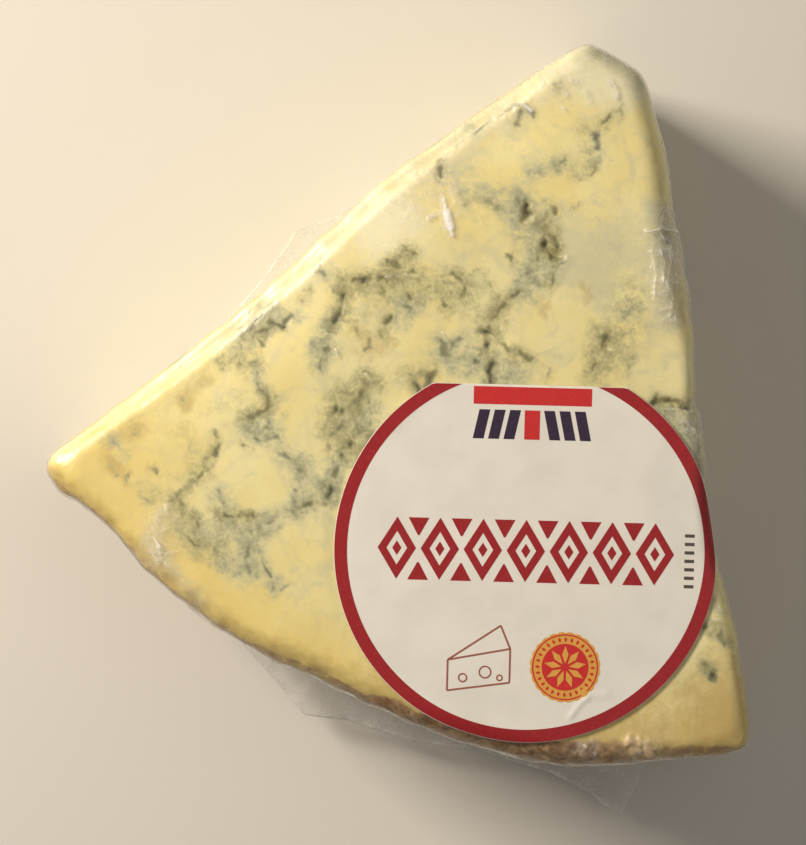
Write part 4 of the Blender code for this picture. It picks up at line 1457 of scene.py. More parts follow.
@dataclass(frozen=True)
class FilmFinish:
    """Clear stretch film: it mirrors at a glance, is milky where it is crumpled, and is painted
    solid white at its glints.
    """

    clear: Triple = (0.96, 0.96, 0.94)
    milky: Triple = (0.80, 0.79, 0.74)
    creased: Triple = (0.78, 0.76, 0.70)
    # The stretched colour is the white of the painted glints.
    stretched: Triple = (0.97, 0.96, 0.93)
    drawn_turn: float = math.radians(-32)
    drawn_scale: Triple = (1.0, 0.28, 0.5)
    ripple_size: float = 2.6 * MM
    ripple_depth: float = -1.2
    crumple_size: float = 1.3 * MM
    least_crumple: float = 0.12
    relief: float = 0.35 * MM
    relief_strength: float = 0.42
    least_mirror: float = 0.05
    streak_border: Span = (0.42, 0.75)
    least_haze: float = 0.35
    streak_haze: float = 0.9
    painted_glint_border: Triple = (0.42, 1.0, 0.95)
    slack_border: Span = (0.4, 0.8)
    gloss: float = 0.26
    milk_highlight_dull: float = 0.25
    slack_dull: float = 0.10

    def material(self) -> Material:
        """Build the film's material: a mirror at a glance, clear from straight above, hazy where
        the film is stretched, and solid white where a painted glint whitens it.

        Returns:
            The material.
        """
        material, sheet = new_material("clear_film")
        place = sheet.place()
        slack = sheet.mask("slack")
        # The mask holds milky film, with painted sheen and glints.
        milk_and_highlight = sheet.mask("milk_and_highlight")
        drawn = sheet.add("ShaderNodeMapping")
        drawn.inputs["Rotation"].default_value = (0.0, 0.0, self.drawn_turn)
        drawn.inputs["Scale"].default_value = self.drawn_scale
        sheet.feed(drawn.inputs["Vector"], place)
        ripple = sheet.noise(drawn.outputs["Vector"], self.ripple_size, 3.0, 0.5, 0.6)
        ridged = sheet.math("ABSOLUTE", sheet.math("SUBTRACT", ripple, 0.5))
        crumple = sheet.noise(place, self.crumple_size, 3.0, 0.55, 0.8)
        loose = sheet.math("ADD", slack, self.least_crumple)
        crumpled = sheet.math("MULTIPLY", crumple, loose)
        height = sheet.math("ADD", sheet.math("MULTIPLY", ridged, self.ripple_depth), crumpled)
        bump = sheet.add("ShaderNodeBump")
        bump.inputs["Distance"].default_value = self.relief
        bump.inputs["Strength"].default_value = self.relief_strength
        sheet.feed(bump.inputs["Height"], height)
        slant = sheet.add("ShaderNodeLayerWeight")
        slant.inputs["Blend"].default_value = 0.5
        sheet.feed(slant.inputs["Normal"], bump.outputs["Normal"])
        grazing = sheet.math("POWER", slant.outputs["Facing"], 5.0)
        mirror = sheet.math("MULTIPLY", grazing, 1.0 - self.least_mirror)
        mirror = sheet.math("ADD", mirror, self.least_mirror)
        streaks = sheet.rise(crumple, *self.streak_border)
        streaks = sheet.math("MULTIPLY", streaks, self.streak_haze)
        haze = sheet.math("MULTIPLY", milk_and_highlight, sheet.math("ADD", self.least_haze, streaks))
        # Painted glint: where the mask is strong, the film turns solid white.
        solid = sheet.rise(milk_and_highlight, *self.painted_glint_border)
        haze = sheet.math("MAXIMUM", haze, solid)
        alpha = sheet.math("ADD", mirror, haze, clamp=True)
        share = sheet.math("DIVIDE", mirror, sheet.math("ADD", alpha, 0.001), clamp=True)
        slack_share = sheet.rise(slack, *self.slack_border)
        milky_and_glint_colour = sheet.blend(slack_share, self.milky, self.creased)
        # Painted glint colour: near-white where the film is whitened.
        milky_and_glint_colour = sheet.blend(solid, milky_and_glint_colour, self.stretched)
        dull_milk_highlight = sheet.math("MULTIPLY", milk_and_highlight, self.milk_highlight_dull)
        dulled = sheet.math("ADD", dull_milk_highlight, sheet.math("MULTIPLY", slack, self.slack_dull))
        sheet.principled(
            base_color=sheet.blend(share, milky_and_glint_colour, self.clear),
            metallic=share,
            roughness=sheet.math("ADD", self.gloss, dulled),
            alpha=alpha,
            normal=bump.outputs["Normal"],
        )
        return material


@dataclass(frozen=True)
class FilmWrap:
    """The film drawn tight over the whole wedge."""

    grain: float = 1.0 * MM
    fine_depth: float = 5.0 * MM
    crease_room: float = 9.0
    ridge_room: float = 6.0
    crumple_edge: float = 0.05
    ridge_grain: float = 3.0 * MM
    fine_ridge_grain: float = 1.5 * MM
    ridge_painted_glint: float = 1.4
    calm_share: float = 0.15
    edge_reach: Span = (9 * MM, 1 * MM)
    left_slack: float = 0.25
    wall_haze: float = 0.12
    wall_haze_grain: float = 12 * MM
    creases: tuple[Crease, ...] = tuple(Crease(*row) for row in CREASE_ROWS)
    milk_highlight_patches: tuple[MilkHighlightPatch, ...] = tuple(MilkHighlightPatch(*row) for row in MILK_HIGHLIGHT_ROWS)

    def near_crease(self, points: Array, room: float) -> Array:
        """Tell which points lie within some pixels of a crease of the top."""
        seen = SHOT.seen(points)
        close = np.zeros(len(points), dtype=bool)
        for crease in self.creases:
            close |= route_distance(seen, crease.route) < room
        return close & (points[:, 2] > FORM.thickness - 2 * MM)

    def detailed(self, centres: Array) -> Array:
        """Choose the faces round creases, in crumpled patches and on the rim's broken lumps."""
        rumpled = self.crumpled(centres) > self.crumple_edge
        return self.near_crease(centres, self.crease_room) | rumpled | FORM.on_knob(centres)

    def on_crease(self, centres: Array) -> Array:
        """Choose the faces right at a crease."""
        return self.near_crease(centres, self.ridge_room)

    def crumpled(self, points: Array) -> Array:
        """Give how deep the small folds are at each point, in millimetres."""
        seen = SHOT.seen(points)
        deepest = np.zeros(len(points))
        for patch in self.milk_highlight_patches:
            deepest = np.maximum(deepest, patch.crumple * patch.share(seen))
        return deepest * (points[:, 2] > FORM.thickness - self.fine_depth)

    def ridges(self, points: Array) -> Array:
        """Give the sharp ridges of the crumpled patches at each point, in millimetres."""
        coarse = 1.0 - np.abs(rough(points, self.ridge_grain, 43.0)) * 3.2
        fine = 0.8 - np.abs(rough(points, self.fine_ridge_grain, 47.0)) * 3.0
        return np.clip(np.maximum(coarse, fine), 0.0, 1.0) * self.crumpled(points)

    def build(self, material: Material) -> Thing:
        """Shape the film and keep where it is slack, milky and painted with sheen and glints.

        Args:
            material: The film's material.

        Returns:
            The piece.
        """
        mesh = FORM.block("film_wrap", self.grain)
        refine(mesh, (FORM.near_top(self.fine_depth), self.detailed, self.on_crease))
        write_points(mesh, FORM.rounded(read_points(mesh)))
        points = read_points(mesh)
        normals = read_normals(mesh)
        top = VeinField().on_top(points)
        seen = SHOT.seen(points)
        shift = FORM.lumps(points, normals)
        free = LABEL_SHAPE.clearing(points, normals)
        milk_and_highlight = np.zeros(len(points))
        for patch in self.milk_highlight_patches:
            milk_and_highlight = np.maximum(milk_and_highlight, patch.strength * patch.share(seen))
        ridges = self.ridges(points)
        shift += ridges * MM * free
        calm = self.calm_share * (self.crumpled(points) > self.crumple_edge)
        # Painted glints: the ridges of crumpled patches whiten the film.
        milk_and_highlight = np.maximum(milk_and_highlight, milk_and_highlight + self.ridge_painted_glint * ridges - calm)
        for crease in self.creases:
            away = route_distance(seen, crease.route) / crease.width
            shift += crease.height * MM * np.exp(-away) * top * free
            # Painted glints: the film turns white along each crease.
            milk_and_highlight = np.maximum(milk_and_highlight, crease.white * smooth_step(1.0, 0.0, away))
        depths = FORM.wall_depths(points[:, 0], points[:, 1])
        near_edge = smooth_step(*self.edge_reach, np.minimum(depths[1], depths[2])) * top
        near_left = self.left_slack * smooth_step(*self.edge_reach, depths[0]) * top
        near_edge = np.maximum(near_edge, near_left)
        slack = np.clip(0.75 * near_edge + 0.6 * (1.0 - top) + 2.0 * milk_and_highlight * top, 0.0, 1.0) * free
        patchy = smooth_step(-0.2, 0.5, rough(points, self.wall_haze_grain, 91.0))
        walls = (1.0 - top) * patchy * self.wall_haze
        moved = points + normals * shift[:, None]
        moved[:, 2] = np.maximum(moved[:, 2], 0.0)
        write_points(mesh, moved)
        write_mask(mesh, "slack", slack)
        write_mask(mesh, "milk_and_highlight", (milk_and_highlight * top + walls) * free)
        return add_piece("film_wrap", mesh, WEDGE_NODE, [material])


@dataclass(frozen=True)
class FilmFlaps:
    """The loose film round the foot of the rind, and the pinch that stands out of the left cut.

    margin gives how many millimetres the film stands out at angles in degrees round the wheel's
    axis, and fin how far at places along the left cut, both in millimetres.
    """

    thickness: float = 0.08 * MM
    margin_root: float = 2.5 * MM
    margin_height: float = 7.5 * MM
    margin_sag: float = 3.0 * MM
    margin_cells: tuple[int, int] = (240, 20)
    fin_height: float = 20.0 * MM
    fin_root: float = 1.5 * MM
    fin_cells: tuple[int, int] = (100, 14)
    slack: float = 0.35
    fold_grain: float = 3.5 * MM
    margin: tuple[Span, ...] = (
        *((-11.5, 0.3), (-6.0, 3.7), (-3.2, 6.1), (0.0, 4.3), (5.5, 4.2), (10.3, 3.0)),
        *((16.0, 4.8), (19.0, 7.3), (21.4, 11.0), (23.2, 3.5), (23.6, 0.3)),
    )
    fin: tuple[Span, ...] = ((43, 0.2), (48, 1.5), (54, 4.0), (55, 3.6), (62, 1.8), (71, 0.2))

    def margin_points(self, along: Array, out: Array) -> Array:
        """Place the film that runs round the foot of the rind.

        Args:
            along: Places along the rind, from 0 to 1.
            out: Places from the rind's wall to the film's free edge, from 0 to 1.

        Returns:
            One point a row.
        """
        places = [math.radians(turn) for turn, _ in self.margin]
        angle = places[0] + (places[-1] - places[0]) * along
        reach = np.interp(angle, places, [reach * MM for _, reach in self.margin])
        start = FORM.wheel_radius - self.margin_root + bulge(FORM.rind_swells, angle)
        end = FORM.wheel_radius + reach
        radius = start + (end - start) * out
        x = radius * np.sin(angle)
        y = FORM.axis_y - radius * np.cos(angle)
        flat = np.column_stack((x, y, np.zeros_like(x)))
        wave = 0.5 * MM * rough(flat, 7 * MM) + 0.3 * MM * out * rough(flat, 2.4 * MM, 5.0)
        fall = self.margin_sag * (radius - FORM.wheel_radius) / (8 * MM)
        return np.column_stack((x, y, self.margin_height - fall + wave))

    def fin_points(self, along: Array, out: Array) -> Array:
        """Place the pinched film of the left cut.

        Args:
            along: Places along the cut, from 0 to 1.
            out: Places from the cut's wall to the film's free edge, from 0 to 1.

        Returns:
            One point a row.
        """
        places = [place * MM for place, _ in self.fin]
        place = places[0] + (places[-1] - places[0]) * along
        reach = np.interp(place, places, [reach * MM for _, reach in self.fin])
        swell = bulge(FORM.left_swells, place)
        off = (self.fin_root + reach) * out - self.fin_root + swell
        x = -place * math.sin(FORM.half_angle) - off * math.cos(FORM.half_angle)
        y = FORM.axis_y - place * math.cos(FORM.half_angle) + off * math.sin(FORM.half_angle)
        flat = np.column_stack((x, y, np.zeros_like(x)))
        wave = 0.4 * MM * rough(flat, 9 * MM) + 0.25 * MM * out * rough(flat, 2.5 * MM, 5.0)
        return np.column_stack((x, y, self.fin_height + wave))

    def milkiness(self, points: Array, out: Array) -> Array:
        """Give how milky the loose film is: most at its free edge, where a painted highlight
        stands for the light it catches, and along its folds.
        """
        # The free edge is milkier film and a painted highlight of its lit edge.
        hem_milk_and_highlight = smooth_step(0.86, 0.99, out)
        folds = smooth_step(0.12, 0.42, np.abs(rough(points, self.fold_grain, 51.0)))
        return np.clip(0.12 + 0.5 * hem_milk_and_highlight + 0.2 * folds, 0.0, 1.0)

    def build(self, material: Material) -> Thing:
        """Lay both flaps out and give them the film's thickness.

        Args:
            material: The film's material.

        Returns:
            The piece.
        """
        shape = bmesh.new()
        milky: list[Array] = []
        flaps = ((self.margin_cells, self.margin_points), (self.fin_cells, self.fin_points))
        for cells, place in flaps:

            def noted(across: Array, up: Array, lay: PlaceRule = place) -> Array:
                """Place the flap's points and note how milky each one is."""
                points = lay(across, up)
                milky.append(self.milkiness(points, up))
                return points

            mapped_grid(shape, *cells, noted)
        mesh = closed(shape, "flap_sheet")
        write_mask(mesh, "milk_and_highlight", np.concatenate(milky))
        write_mask(mesh, "slack", np.full(len(mesh.vertices), self.slack))
        solid = thickened(mesh, self.thickness, 0.0)
        return add_piece("film_flaps", solid, WEDGE_NODE, [material])


@dataclass(frozen=True)
class PaperFinish:
    """Matte coated label paper."""

    white: Triple = (0.86, 0.845, 0.80)
    shade: Triple = (0.80, 0.785, 0.74)

    def material(self, grain: GrainGroup) -> Material:
        """Build the paper's material.

        Args:
            grain: The fine grain of its surface.

        Returns:
            The material.
        """
        material, sheet = new_material("label_paper")
        place = sheet.place()
        cloud = sheet.noise(place, 6 * MM, 3.0)
        colour = sheet.blend(sheet.rise(cloud, 0.35, 0.7), self.white, self.shade)
        waviness = sheet.math("MULTIPLY", sheet.noise(place, 7 * MM, 2.0), 3.0)
        normal = sheet.group(
            grain.tree, place=place, scale=1.0 / (0.25 * MM), strength=0.12, height=waviness
        )
        sheet.principled(
            base_color=colour,
            roughness=0.5,
            normal=normal.outputs["Normal"],
            coat_weight=0.25,
            coat_roughness=0.22,
        )
        return material


class Ink(Enum):
    """The label's printing inks, as display colours."""

    CRIMSON = (158, 30, 38)
    RED = (205, 44, 46)
    NAVY = (52, 36, 64)
    AMBER = (224, 168, 78)
    TERRACOTTA = (160, 96, 82)
    GREY = (84, 78, 72)

    def material(self, grain: GrainGroup) -> Material:
        """Build the ink's material."""
        material, sheet = new_material(f"ink_{self.name.lower()}")
        place = sheet.place()
        base = from_display(*self.value)
        patch = sheet.noise(place, 0.5 * MM, 2.0)
        worn = tuple(min(1.0, 1.18 * part + 0.01) for part in base)
        colour = sheet.blend(sheet.rise(patch, 0.5, 0.75, 0.6), base, worn)
        normal = sheet.group(
            grain.tree, place=place, scale=1.0 / (0.25 * MM), strength=0.1, height=0.0
        )
        sheet.principled(base_color=colour, roughness=0.45, normal=normal.outputs["Normal"])
        return material


@dataclass(frozen=True)
class PaperLabel:
    """The round paper with its straight top edge."""

    cells: int = 150

    def build(self, material: Material) -> Thing:
        """Lay the paper over the top cut and give it its thickness.

        Args:
            material: The paper's material.

        Returns:
            The piece.
        """
        shape = bmesh.new()
        mapped_grid(shape, self.cells, self.cells, self.disc)
        everything = [*shape.verts, *shape.edges, *shape.faces]
        bmesh.ops.bisect_plane(
            shape,
            geom=everything,
            plane_co=(0, LABEL_SHAPE.chord, 0),
            plane_no=(0, 1, 0),
            clear_outer=True,
        )
        flat = np.array([vert.co for vert in shape.verts])
        laid = LABEL_SHAPE.lay(flat[:, 0], flat[:, 1], LABEL_SHAPE.lift)
        for vert, point in zip(shape.verts, laid):
            vert.co = point
        mesh = closed(shape, "paper_sheet")
        solid = thickened(mesh, LABEL_SHAPE.thickness - LABEL_SHAPE.lift, 1.0)
        return add_piece("paper_label", solid, LABEL_NODE, [material])

    def disc(self, across: Array, up: Array) -> Array:
        """Turn the unit square into a flat disc of the label's size."""
        u = 2.0 * across - 1.0
        v = 2.0 * up - 1.0
        round_u = u * np.sqrt(1.0 - v * v / 2.0)
        round_v = v * np.sqrt(1.0 - u * u / 2.0)
        return np.column_stack((round_u, round_v, np.zeros_like(u))) * LABEL_SHAPE.radius


class RepeatTree:
    """The Geometry Nodes tree that repeats a printed motif along a row or round a centre."""

    def __init__(self) -> None:
        """Build the tree with its named inputs."""
        self.tree = bpy.data.node_groups.new("repeated_motif", "GeometryNodeTree")
        face = self.tree.interface
        face.new_socket("Motif", in_out="INPUT", socket_type="NodeSocketGeometry")
        self.count = face.new_socket("Count", in_out="INPUT", socket_type="NodeSocketInt")
        self.step = face.new_socket("Step", in_out="INPUT", socket_type="NodeSocketVector")
        self.turn = face.new_socket("Turn", in_out="INPUT", socket_type="NodeSocketFloat")
        self.ink = face.new_socket("Ink", in_out="INPUT", socket_type="NodeSocketMaterial")
        face.new_socket("Motifs", in_out="OUTPUT", socket_type="NodeSocketGeometry")
        sheet = NodeSheet(self.tree)
        given = sheet.add("NodeGroupInput").outputs
        line = sheet.add("GeometryNodeMeshLine", mode="OFFSET")
        sheet.feed(line.inputs["Count"], given["Count"])
        sheet.feed(line.inputs["Offset"], given["Step"])
        index = sheet.add("GeometryNodeInputIndex")
        turned = sheet.add("ShaderNodeCombineXYZ")
        sheet.feed(turned.inputs["Z"], sheet.math("MULTIPLY", index.outputs[0], given["Turn"]))
        copies = sheet.add("GeometryNodeInstanceOnPoints")
        sheet.feed(copies.inputs["Points"], line.outputs["Mesh"])
        sheet.feed(copies.inputs["Instance"], given["Motif"])
        sheet.feed(copies.inputs["Rotation"], turned.outputs[0])
        real = sheet.add("GeometryNodeRealizeInstances")
        sheet.feed(real.inputs["Geometry"], copies.outputs["Instances"])
        inked = sheet.add("GeometryNodeSetMaterial")
        sheet.feed(inked.inputs["Geometry"], real.outputs["Geometry"])
        sheet.feed(inked.inputs["Material"], given["Ink"])
        sheet.feed(sheet.add("NodeGroupOutput").inputs["Motifs"], inked.outputs["Geometry"])

    def repeat(
        self,
        motif: Mesh,
        count: int,
        step: Triple,
        turn: float,
        ink: Material,
    ) -> Mesh:
        """Repeat a motif.

        Args:
            motif: The flat motif.
            count: How many times it is printed.
            step: The shift from each copy to the next, in metres.
            turn: The turn from each copy to the next, in radians.
            ink: Its ink.

        Returns:
            The copies as one mesh.
        """
        thing = add_thing("motif", motif)
        repeating = thing.modifiers.new("repeated_motif", "NODES")
        repeating.node_group = self.tree
        repeating[self.count.identifier] = count
        repeating[self.step.identifier] = step
        repeating[self.turn.identifier] = turn
        repeating[self.ink.identifier] = ink
        return evaluated_mesh(thing)


class FlatPrint:
    """Flat motifs in the label's own plane, in millimetres, with the layer as the height."""

    cell = 0.45

    def __init__(self) -> None:
        """Start with a bare plane."""
        self.shape = bmesh.new()

    def quad(self, corners: Sequence[tuple[float, float]], layer: int = 0) -> None:
        """Fill a four-sided shape.

        Args:
            corners: Its corners, anticlockwise from the lower left one, in millimetres.
            layer: The print layer.
        """
        low_left, low_right, high_right, high_left = (np.array(corner) for corner in corners)
        width = max(np.linalg.norm(low_right - low_left), np.linalg.norm(high_right - high_left))
        height = np.linalg.norm(high_left - low_left)

        def place(across: Array, up: Array) -> Array:
            """Lay the grid between the low and the high side."""
            low = low_left + across[:, None] * (low_right - low_left)
            high = high_left + across[:, None] * (high_right - high_left)
            flat = low + up[:, None] * (high - low)
            return np.column_stack((flat * MM, np.full(len(flat), float(layer))))

        cells = (max(1, round(width / self.cell)), max(1, round(height / self.cell)))
        mapped_grid(self.shape, *cells, place)

    def bar(self, u: float, v: float, width: float, height: float, layer: int = 0) -> None:
        """Fill an upright rectangle round a centre."""
        left, right = u - width / 2, u + width / 2
        low, high = v - height / 2, v + height / 2
        self.quad(((left, low), (right, low), (right, high), (left, high)), layer)

    def stroke(self, route: Sequence[tuple[float, float]], width: float, layer: int = 0) -> None:
        """Draw an open line of an even width."""
        for start, end in zip(route, route[1:]):
            run = np.array(end) - np.array(start)
            side = np.array((-run[1], run[0])) / np.linalg.norm(run) * width / 2
            begin, finish = np.array(start), np.array(end)
            self.quad((begin - side, finish - side, finish + side, begin + side), layer)

    def sector(
        self,
        centre: tuple[float, float],
        inner: Callable[[Array], Array],
        outer: Callable[[Array], Array],
        layer: int = 0,
        cells: tuple[int, int] = (96, 2),
        span: Span = (0.0, 2.0 * math.pi),
    ) -> None:
        """Fill the room between two radii that follow the angle round a centre.

        Args:
            centre: The centre, in millimetres.
            inner: The inner radius at each angle, in millimetres.
            outer: The outer radius at each angle, in millimetres.
            layer: The print layer.
            cells: The number of cells round and out.
            span: The first and last angle, in radians.
        """

        def place(across: Array, up: Array) -> Array:
            """Lay the grid round the centre and between the radii."""
            angle = span[1] + (span[0] - span[1]) * across
            radius = inner(angle) + (outer(angle) - inner(angle)) * up
            u = centre[0] + radius * np.cos(angle)
            v = centre[1] + radius * np.sin(angle)
            return np.column_stack((u * MM, v * MM, np.full(len(u), float(layer))))

        mapped_grid(self.shape, *cells, place)

    def mesh(self) -> Mesh:
        """Close the plane and give its mesh."""
        bmesh.ops.remove_doubles(self.shape, verts=self.shape.verts, dist=0.001 * MM)
        return closed(self.shape, "flat_print")


@dataclass(frozen=True)
class LabelPrint:
    """The plain ornament printed on the paper, in millimetres from the label's centre.

    small_wedge is the half width at its base and at its blunt point, and its height; scallops are
    the least radius of the rosette's edge, how far it swells and how often; petals and beads are
    their count, where they start and end, and their width.
    """

    inks: dict[Ink, Material]
    layer_step: float = 0.015 * MM
    above_paper: float = 0.025 * MM
    row_count: int = 7
    row_pitch: float = 5.6
    row_low: float = -4.1
    row_high: float = 4.0
    block_left: float = -7.3
    block_right: float = 8.1
    block_low: float = 14.5
    block_high: float = 21.3
    rim_gap: float = 0.06
    lozenge_half_width: float = 2.5
    lozenge_stroke: Span = (1.15, 1.85)
    spot: Span = (0.6, 0.95)
    small_wedge: Triple = (1.35, 0.1, 2.3)
    band_height: float = 2.3
    stem_size: Span = (2.0, 3.8)
    bar_count: int = 3
    bar_step: float = 2.0
    bar_width: float = 1.4
    bar_slant: float = 0.8
    bar_top_gap: float = 3.0
    rosette: Span = (5.5, -15.0)
    rosette_bands: tuple[Span, Span] = ((4.12, 4.3), (0.0, 3.05))
    scallops: Triple = (4.45, 0.16, 12.0)
    petals: Petals = (9, 0.5, 2.75, 0.85)
    beads: Petals = (28, 3.25, 3.95, 0.42)
    drawing: Span = (-5.6, -14.0)
    line_width: float = 0.24
    hole_line: float = 0.2
    tick_place: Span = (21.3, -4.1)
    tick_size: Span = (1.25, 0.42)
    tick_count: int = 7
    tick_step: float = 1.1

    def laid(self, name: str, parts: Sequence[Mesh], ink: Ink) -> Thing:
        """Lay flat print over the paper as one piece.

        Args:
            name: The piece's name.
            parts: Its flat meshes.
            ink: Its ink.

        Returns:
            The piece.
        """
        shape = bmesh.new()
        for part in parts:
            shape.from_mesh(part)
        bmesh.ops.triangulate(shape, faces=shape.faces)
        mesh = closed(shape, name)
        flat = read_points(mesh)
        lift = LABEL_SHAPE.thickness + self.above_paper
        placed = LABEL_SHAPE.lay(flat[:, 0], flat[:, 1], lift)
        placed[:, 2] += flat[:, 2] * self.layer_step
        write_points(mesh, placed)
        return add_piece(name, mesh, LABEL_NODE, [self.inks[ink]])

    def ring(self) -> Mesh:
        """Draw the rim's band, open where the straight edge cuts the paper.

        Returns:
            The flat band.
        """
        flat = FlatPrint()
        outer = LABEL_SHAPE.radius / MM - self.rim_gap
        inner = (LABEL_SHAPE.radius - LABEL_SHAPE.ring) / MM
        chord = LABEL_SHAPE.chord / MM - self.rim_gap
        turned = math.pi + 2.0 * math.asin(chord / inner)
        start = math.asin(chord / inner) - turned

        def clipped(radius: float) -> Callable[[Array], Array]:
            """Give a radius that stops at the straight edge."""
            return lambda angle: np.minimum(radius, chord / np.maximum(np.sin(angle), 1e-3))

        flat.sector((0, 0), clipped(inner), clipped(outer), 0, (260, 3), (start, start + turned))
        return flat.mesh()

    def lozenge(self) -> Mesh:
        """Draw one motif of the middle row: a bold lozenge frame round a smaller lozenge.

        Returns:
            The flat motif, at the row's first place.
        """
        flat = FlatPrint()
        u = -(self.row_count - 1) * self.row_pitch / 2
        half_high = (self.row_high - self.row_low) / 2
        inner_u = self.lozenge_half_width - self.lozenge_stroke[0]
        inner_v = half_high - self.lozenge_stroke[1]
        tips = ((0, -1), (1, 0), (0, 1), (-1, 0))
        for first, second in zip(tips, tips[1:] + tips[:1]):
            outer = [(u + self.lozenge_half_width * a, half_high * b) for a, b in (first, second)]
            inner = [(u + inner_u * a, inner_v * b) for a, b in (second, first)]
            flat.quad((*outer, *inner))
        wide, high = self.spot
        flat.quad(((u, -high), (u + wide, 0.0), (u, high), (u - wide, 0.0)))
        return flat.mesh()

    def wedge_pair(self) -> Mesh:
        """Draw the two small wedges, point to point, that stand between the lozenges."""
        flat = FlatPrint()
        u = -(self.row_count - 2) * self.row_pitch / 2
        wide, blunt, tall = self.small_wedge
        low, high = self.row_low, self.row_high
        left, right = (u - wide, u - blunt), (u + blunt, u + wide)
        hanging, standing = high - tall, low + tall
        flat.quad(((left[0], high), (left[1], hanging), (right[0], hanging), (right[1], high)))
        flat.quad(((left[0], low), (right[1], low), (right[0], standing), (left[1], standing)))
        return flat.mesh()

    def band(self) -> Mesh:
        """Draw the solid band along the straight edge, with a stem below it."""
        flat = FlatPrint()
        middle = (self.block_left + self.block_right) / 2
        width = self.block_right - self.block_left
        stem_width, stem_height = self.stem_size
        flat.bar(middle, self.block_high - self.band_height / 2, width, self.band_height)
        flat.bar(middle, self.block_low + stem_height / 2, stem_width, stem_height)
        return flat.mesh()

    def slanted_bar(self, left: float, slant: float) -> Mesh:
        """Draw one slanted bar under the band, from its lower left corner and its slant."""
        flat = FlatPrint()
        low, high = self.block_low, self.block_high - self.bar_top_gap
        right = left + self.bar_width
        flat.quad(((left, low), (right, low), (right + slant, high), (left + slant, high)))
        return flat.mesh()

    def rosette_back(self) -> Mesh:
        """Draw the rosette's scalloped disc."""
        flat = FlatPrint()
        radius, depth, turns = self.scallops
        flat.sector(
            self.rosette,
            np.zeros_like,
            lambda angle: radius + depth * np.abs(np.sin(turns * angle)),
            0,
            (192, 4),
        )
        return flat.mesh()

    def rosette_rings(self) -> Mesh:
        """Draw the rosette's thin ring and its filled middle."""
        flat = FlatPrint()
        for inner, outer in self.rosette_bands:
            flat.sector(
                self.rosette,
                lambda angle, radius=inner: np.full_like(angle, radius),
                lambda angle, radius=outer: np.full_like(angle, radius),
                1,
                (96, 3),
            )
        return flat.mesh()

    def wreath(self, tree: RepeatTree, petals: Petals, layer: int, ink: Ink) -> Mesh:
        """Draw a ring of petals round the rosette's centre.

        Args:
            tree: The tree that repeats the petal.
            petals: How many there are, where they start and end, and their width.
            layer: The print layer.
            ink: Their ink.

        Returns:
            The flat ring.
        """
        count, start, end, width = petals
        middle = (start + end) / 2
        flat = FlatPrint()
        flat.quad(((0.0, start), (width / 2, middle), (0.0, end), (-width / 2, middle)), layer)
        ring = tree.repeat(flat.mesh(), count, (0.0, 0.0, 0.0), math.tau / count, self.inks[ink])
        shift = np.array((self.rosette[0] * MM, self.rosette[1] * MM, 0.0))
        write_points(ring, read_points(ring) + shift)
        return ring

    def drawing_lines(self) -> Mesh:
        """Draw a thin-lined wedge of cheese with a few holes.

        Returns:
            The flat drawing.
        """
        flat = FlatPrint()
        u, v = self.drawing
        corners = ((-4.2, -0.4), (2.6, 4.2), (3.9, 1.2), (3.9, -3.2), (-4.2, -4.4), (-4.2, -0.4))
        for route in (corners, ((-4.2, -0.4), (3.9, 1.2))):
            flat.stroke([(u + a, v + b) for a, b in route], self.line_width)
        for hole_u, hole_v, radius in ((-2.2, -2.7, 0.62), (0.7, -1.9, 0.85), (2.6, -2.6, 0.45)):
            centre = (u + hole_u, v + hole_v)
            flat.sector(
                centre,
                lambda angle, size=radius: np.full_like(angle, size - self.hole_line),
                lambda angle, size=radius: np.full_like(angle, size),
                0,
                (28, 1),
            )
        return flat.mesh()

    def tick(self) -> Mesh:
        """Draw one tick of the column at the right."""
        flat = FlatPrint()
        flat.bar(*self.tick_place, *self.tick_size)
        return flat.mesh()

    def build(self) -> None:
        """Print the whole label, one piece an ink."""
        tree = RepeatTree()
        crimson, navy, grey = (self.inks[ink] for ink in (Ink.CRIMSON, Ink.NAVY, Ink.GREY))
        pitch = (self.row_pitch * MM, 0.0, 0.0)
        row = tree.repeat(self.lozenge(), self.row_count, pitch, 0.0, crimson)
        wedges = tree.repeat(self.wedge_pair(), self.row_count - 1, pitch, 0.0, crimson)
        self.laid("print_crimson", (self.ring(), row, wedges), Ink.CRIMSON)
        step = self.bar_step * MM
        bar = self.slanted_bar(self.block_left, self.bar_slant)
        left = tree.repeat(bar, self.bar_count, (step, 0.0, 0.0), 0.0, navy)
        bar = self.slanted_bar(self.block_right - self.bar_width, -self.bar_slant)
        right = tree.repeat(bar, self.bar_count, (-step, 0.0, 0.0), 0.0, navy)
        self.laid("print_navy", (left, right), Ink.NAVY)
        petals = self.wreath(tree, self.petals, 2, Ink.AMBER)
        self.laid("print_amber", (self.rosette_back(), petals), Ink.AMBER)
        beads = self.wreath(tree, self.beads, 1, Ink.RED)
        self.laid("print_red", (self.band(), self.rosette_rings(), beads), Ink.RED)
        self.laid("print_terracotta", (self.drawing_lines(),), Ink.TERRACOTTA)
        upward = (0.0, self.tick_step * MM, 0.0)
        ticks = tree.repeat(self.tick(), self.tick_count, upward, 0.0, grey)
        self.laid("print_grey", (ticks,), Ink.GREY)


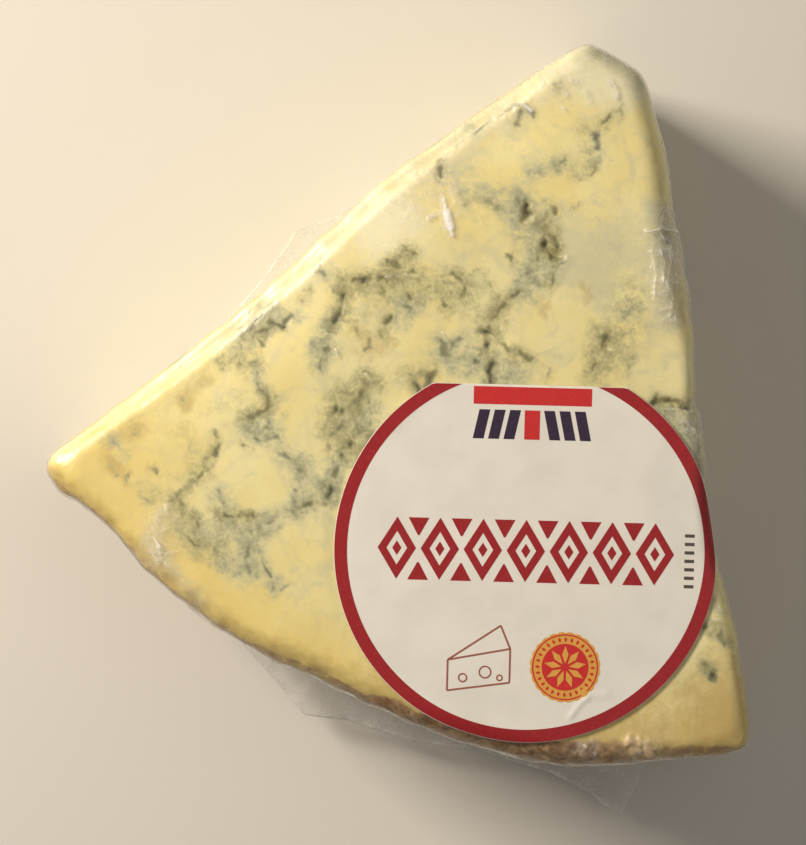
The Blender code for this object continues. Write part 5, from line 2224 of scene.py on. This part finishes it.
def add_studio() -> None:
    """Add the pale floor, the soft lights and the camera."""
    shape = bmesh.new()
    bmesh.ops.create_grid(shape, x_segments=2, y_segments=2, size=1.5)
    mesh = closed(shape, "floor")
    floor = add_thing("floor", mesh)
    floor.location = (0.0, 0.0, -0.05 * MM)
    material, sheet = new_material("pale_floor")
    sheet.principled(base_color=(0.74, 0.72, 0.68), roughness=0.85)
    mesh.materials.append(material)
    add_soft_light("key", azimuth=171.5, elevation=38.0, distance=0.50, size=0.15, power=2.68)
    add_soft_light("fill", azimuth=20.0, elevation=60.0, distance=0.9, size=0.6, power=0.8)
    world = bpy.data.worlds.new("soft_room")
    world.use_nodes = True
    background = world.node_tree.nodes["Background"]
    background.inputs["Color"].default_value = (1.0, 0.96, 0.90, 1.0)
    background.inputs["Strength"].default_value = 0.17
    bpy.context.scene.world = world
    bpy.context.scene.view_settings.view_transform = "Standard"
    SHOT.add_camera()


def add_soft_light(
    name: str, azimuth: float, elevation: float, distance: float, size: float, power: float
) -> None:
    """Add a square light that faces the wedge.

    Args:
        name: The light's name.
        azimuth: Its direction from the wedge, in degrees from +X towards +Y.
        elevation: Its height over the horizon, in degrees.
        distance: How far from the wedge it stands, in metres.
        size: The length of its side, in metres.
        power: Its power, in watts.
    """
    light = bpy.data.lights.new(name, "AREA")
    light.size = size
    light.energy = power
    light.color = (1.0, 0.88, 0.72)
    turn = math.radians(azimuth)
    rise = math.radians(elevation)
    level = math.cos(rise)
    back = Vector((math.cos(turn) * level, math.sin(turn) * level, math.sin(rise)))
    thing = add_thing(name, light)
    thing.location = back * distance
    thing.rotation_mode = "QUATERNION"
    thing.rotation_quaternion = back.to_track_quat("Z", "Y")


def main() -> None:
    """Build every piece in order."""
    logging.basicConfig(level=logging.INFO, format="%(name)s %(message)s")
    grain = GrainGroup()
    CheeseBody().build(CheeseFinish().material(grain))
    film = FilmFinish().material()
    FilmWrap().build(film)
    FilmFlaps().build(film)
    PaperLabel().build(PaperFinish().material(grain))
    LabelPrint({ink: ink.material(grain) for ink in Ink}).build()
    add_studio()


if __name__ == "__main__":
    main()
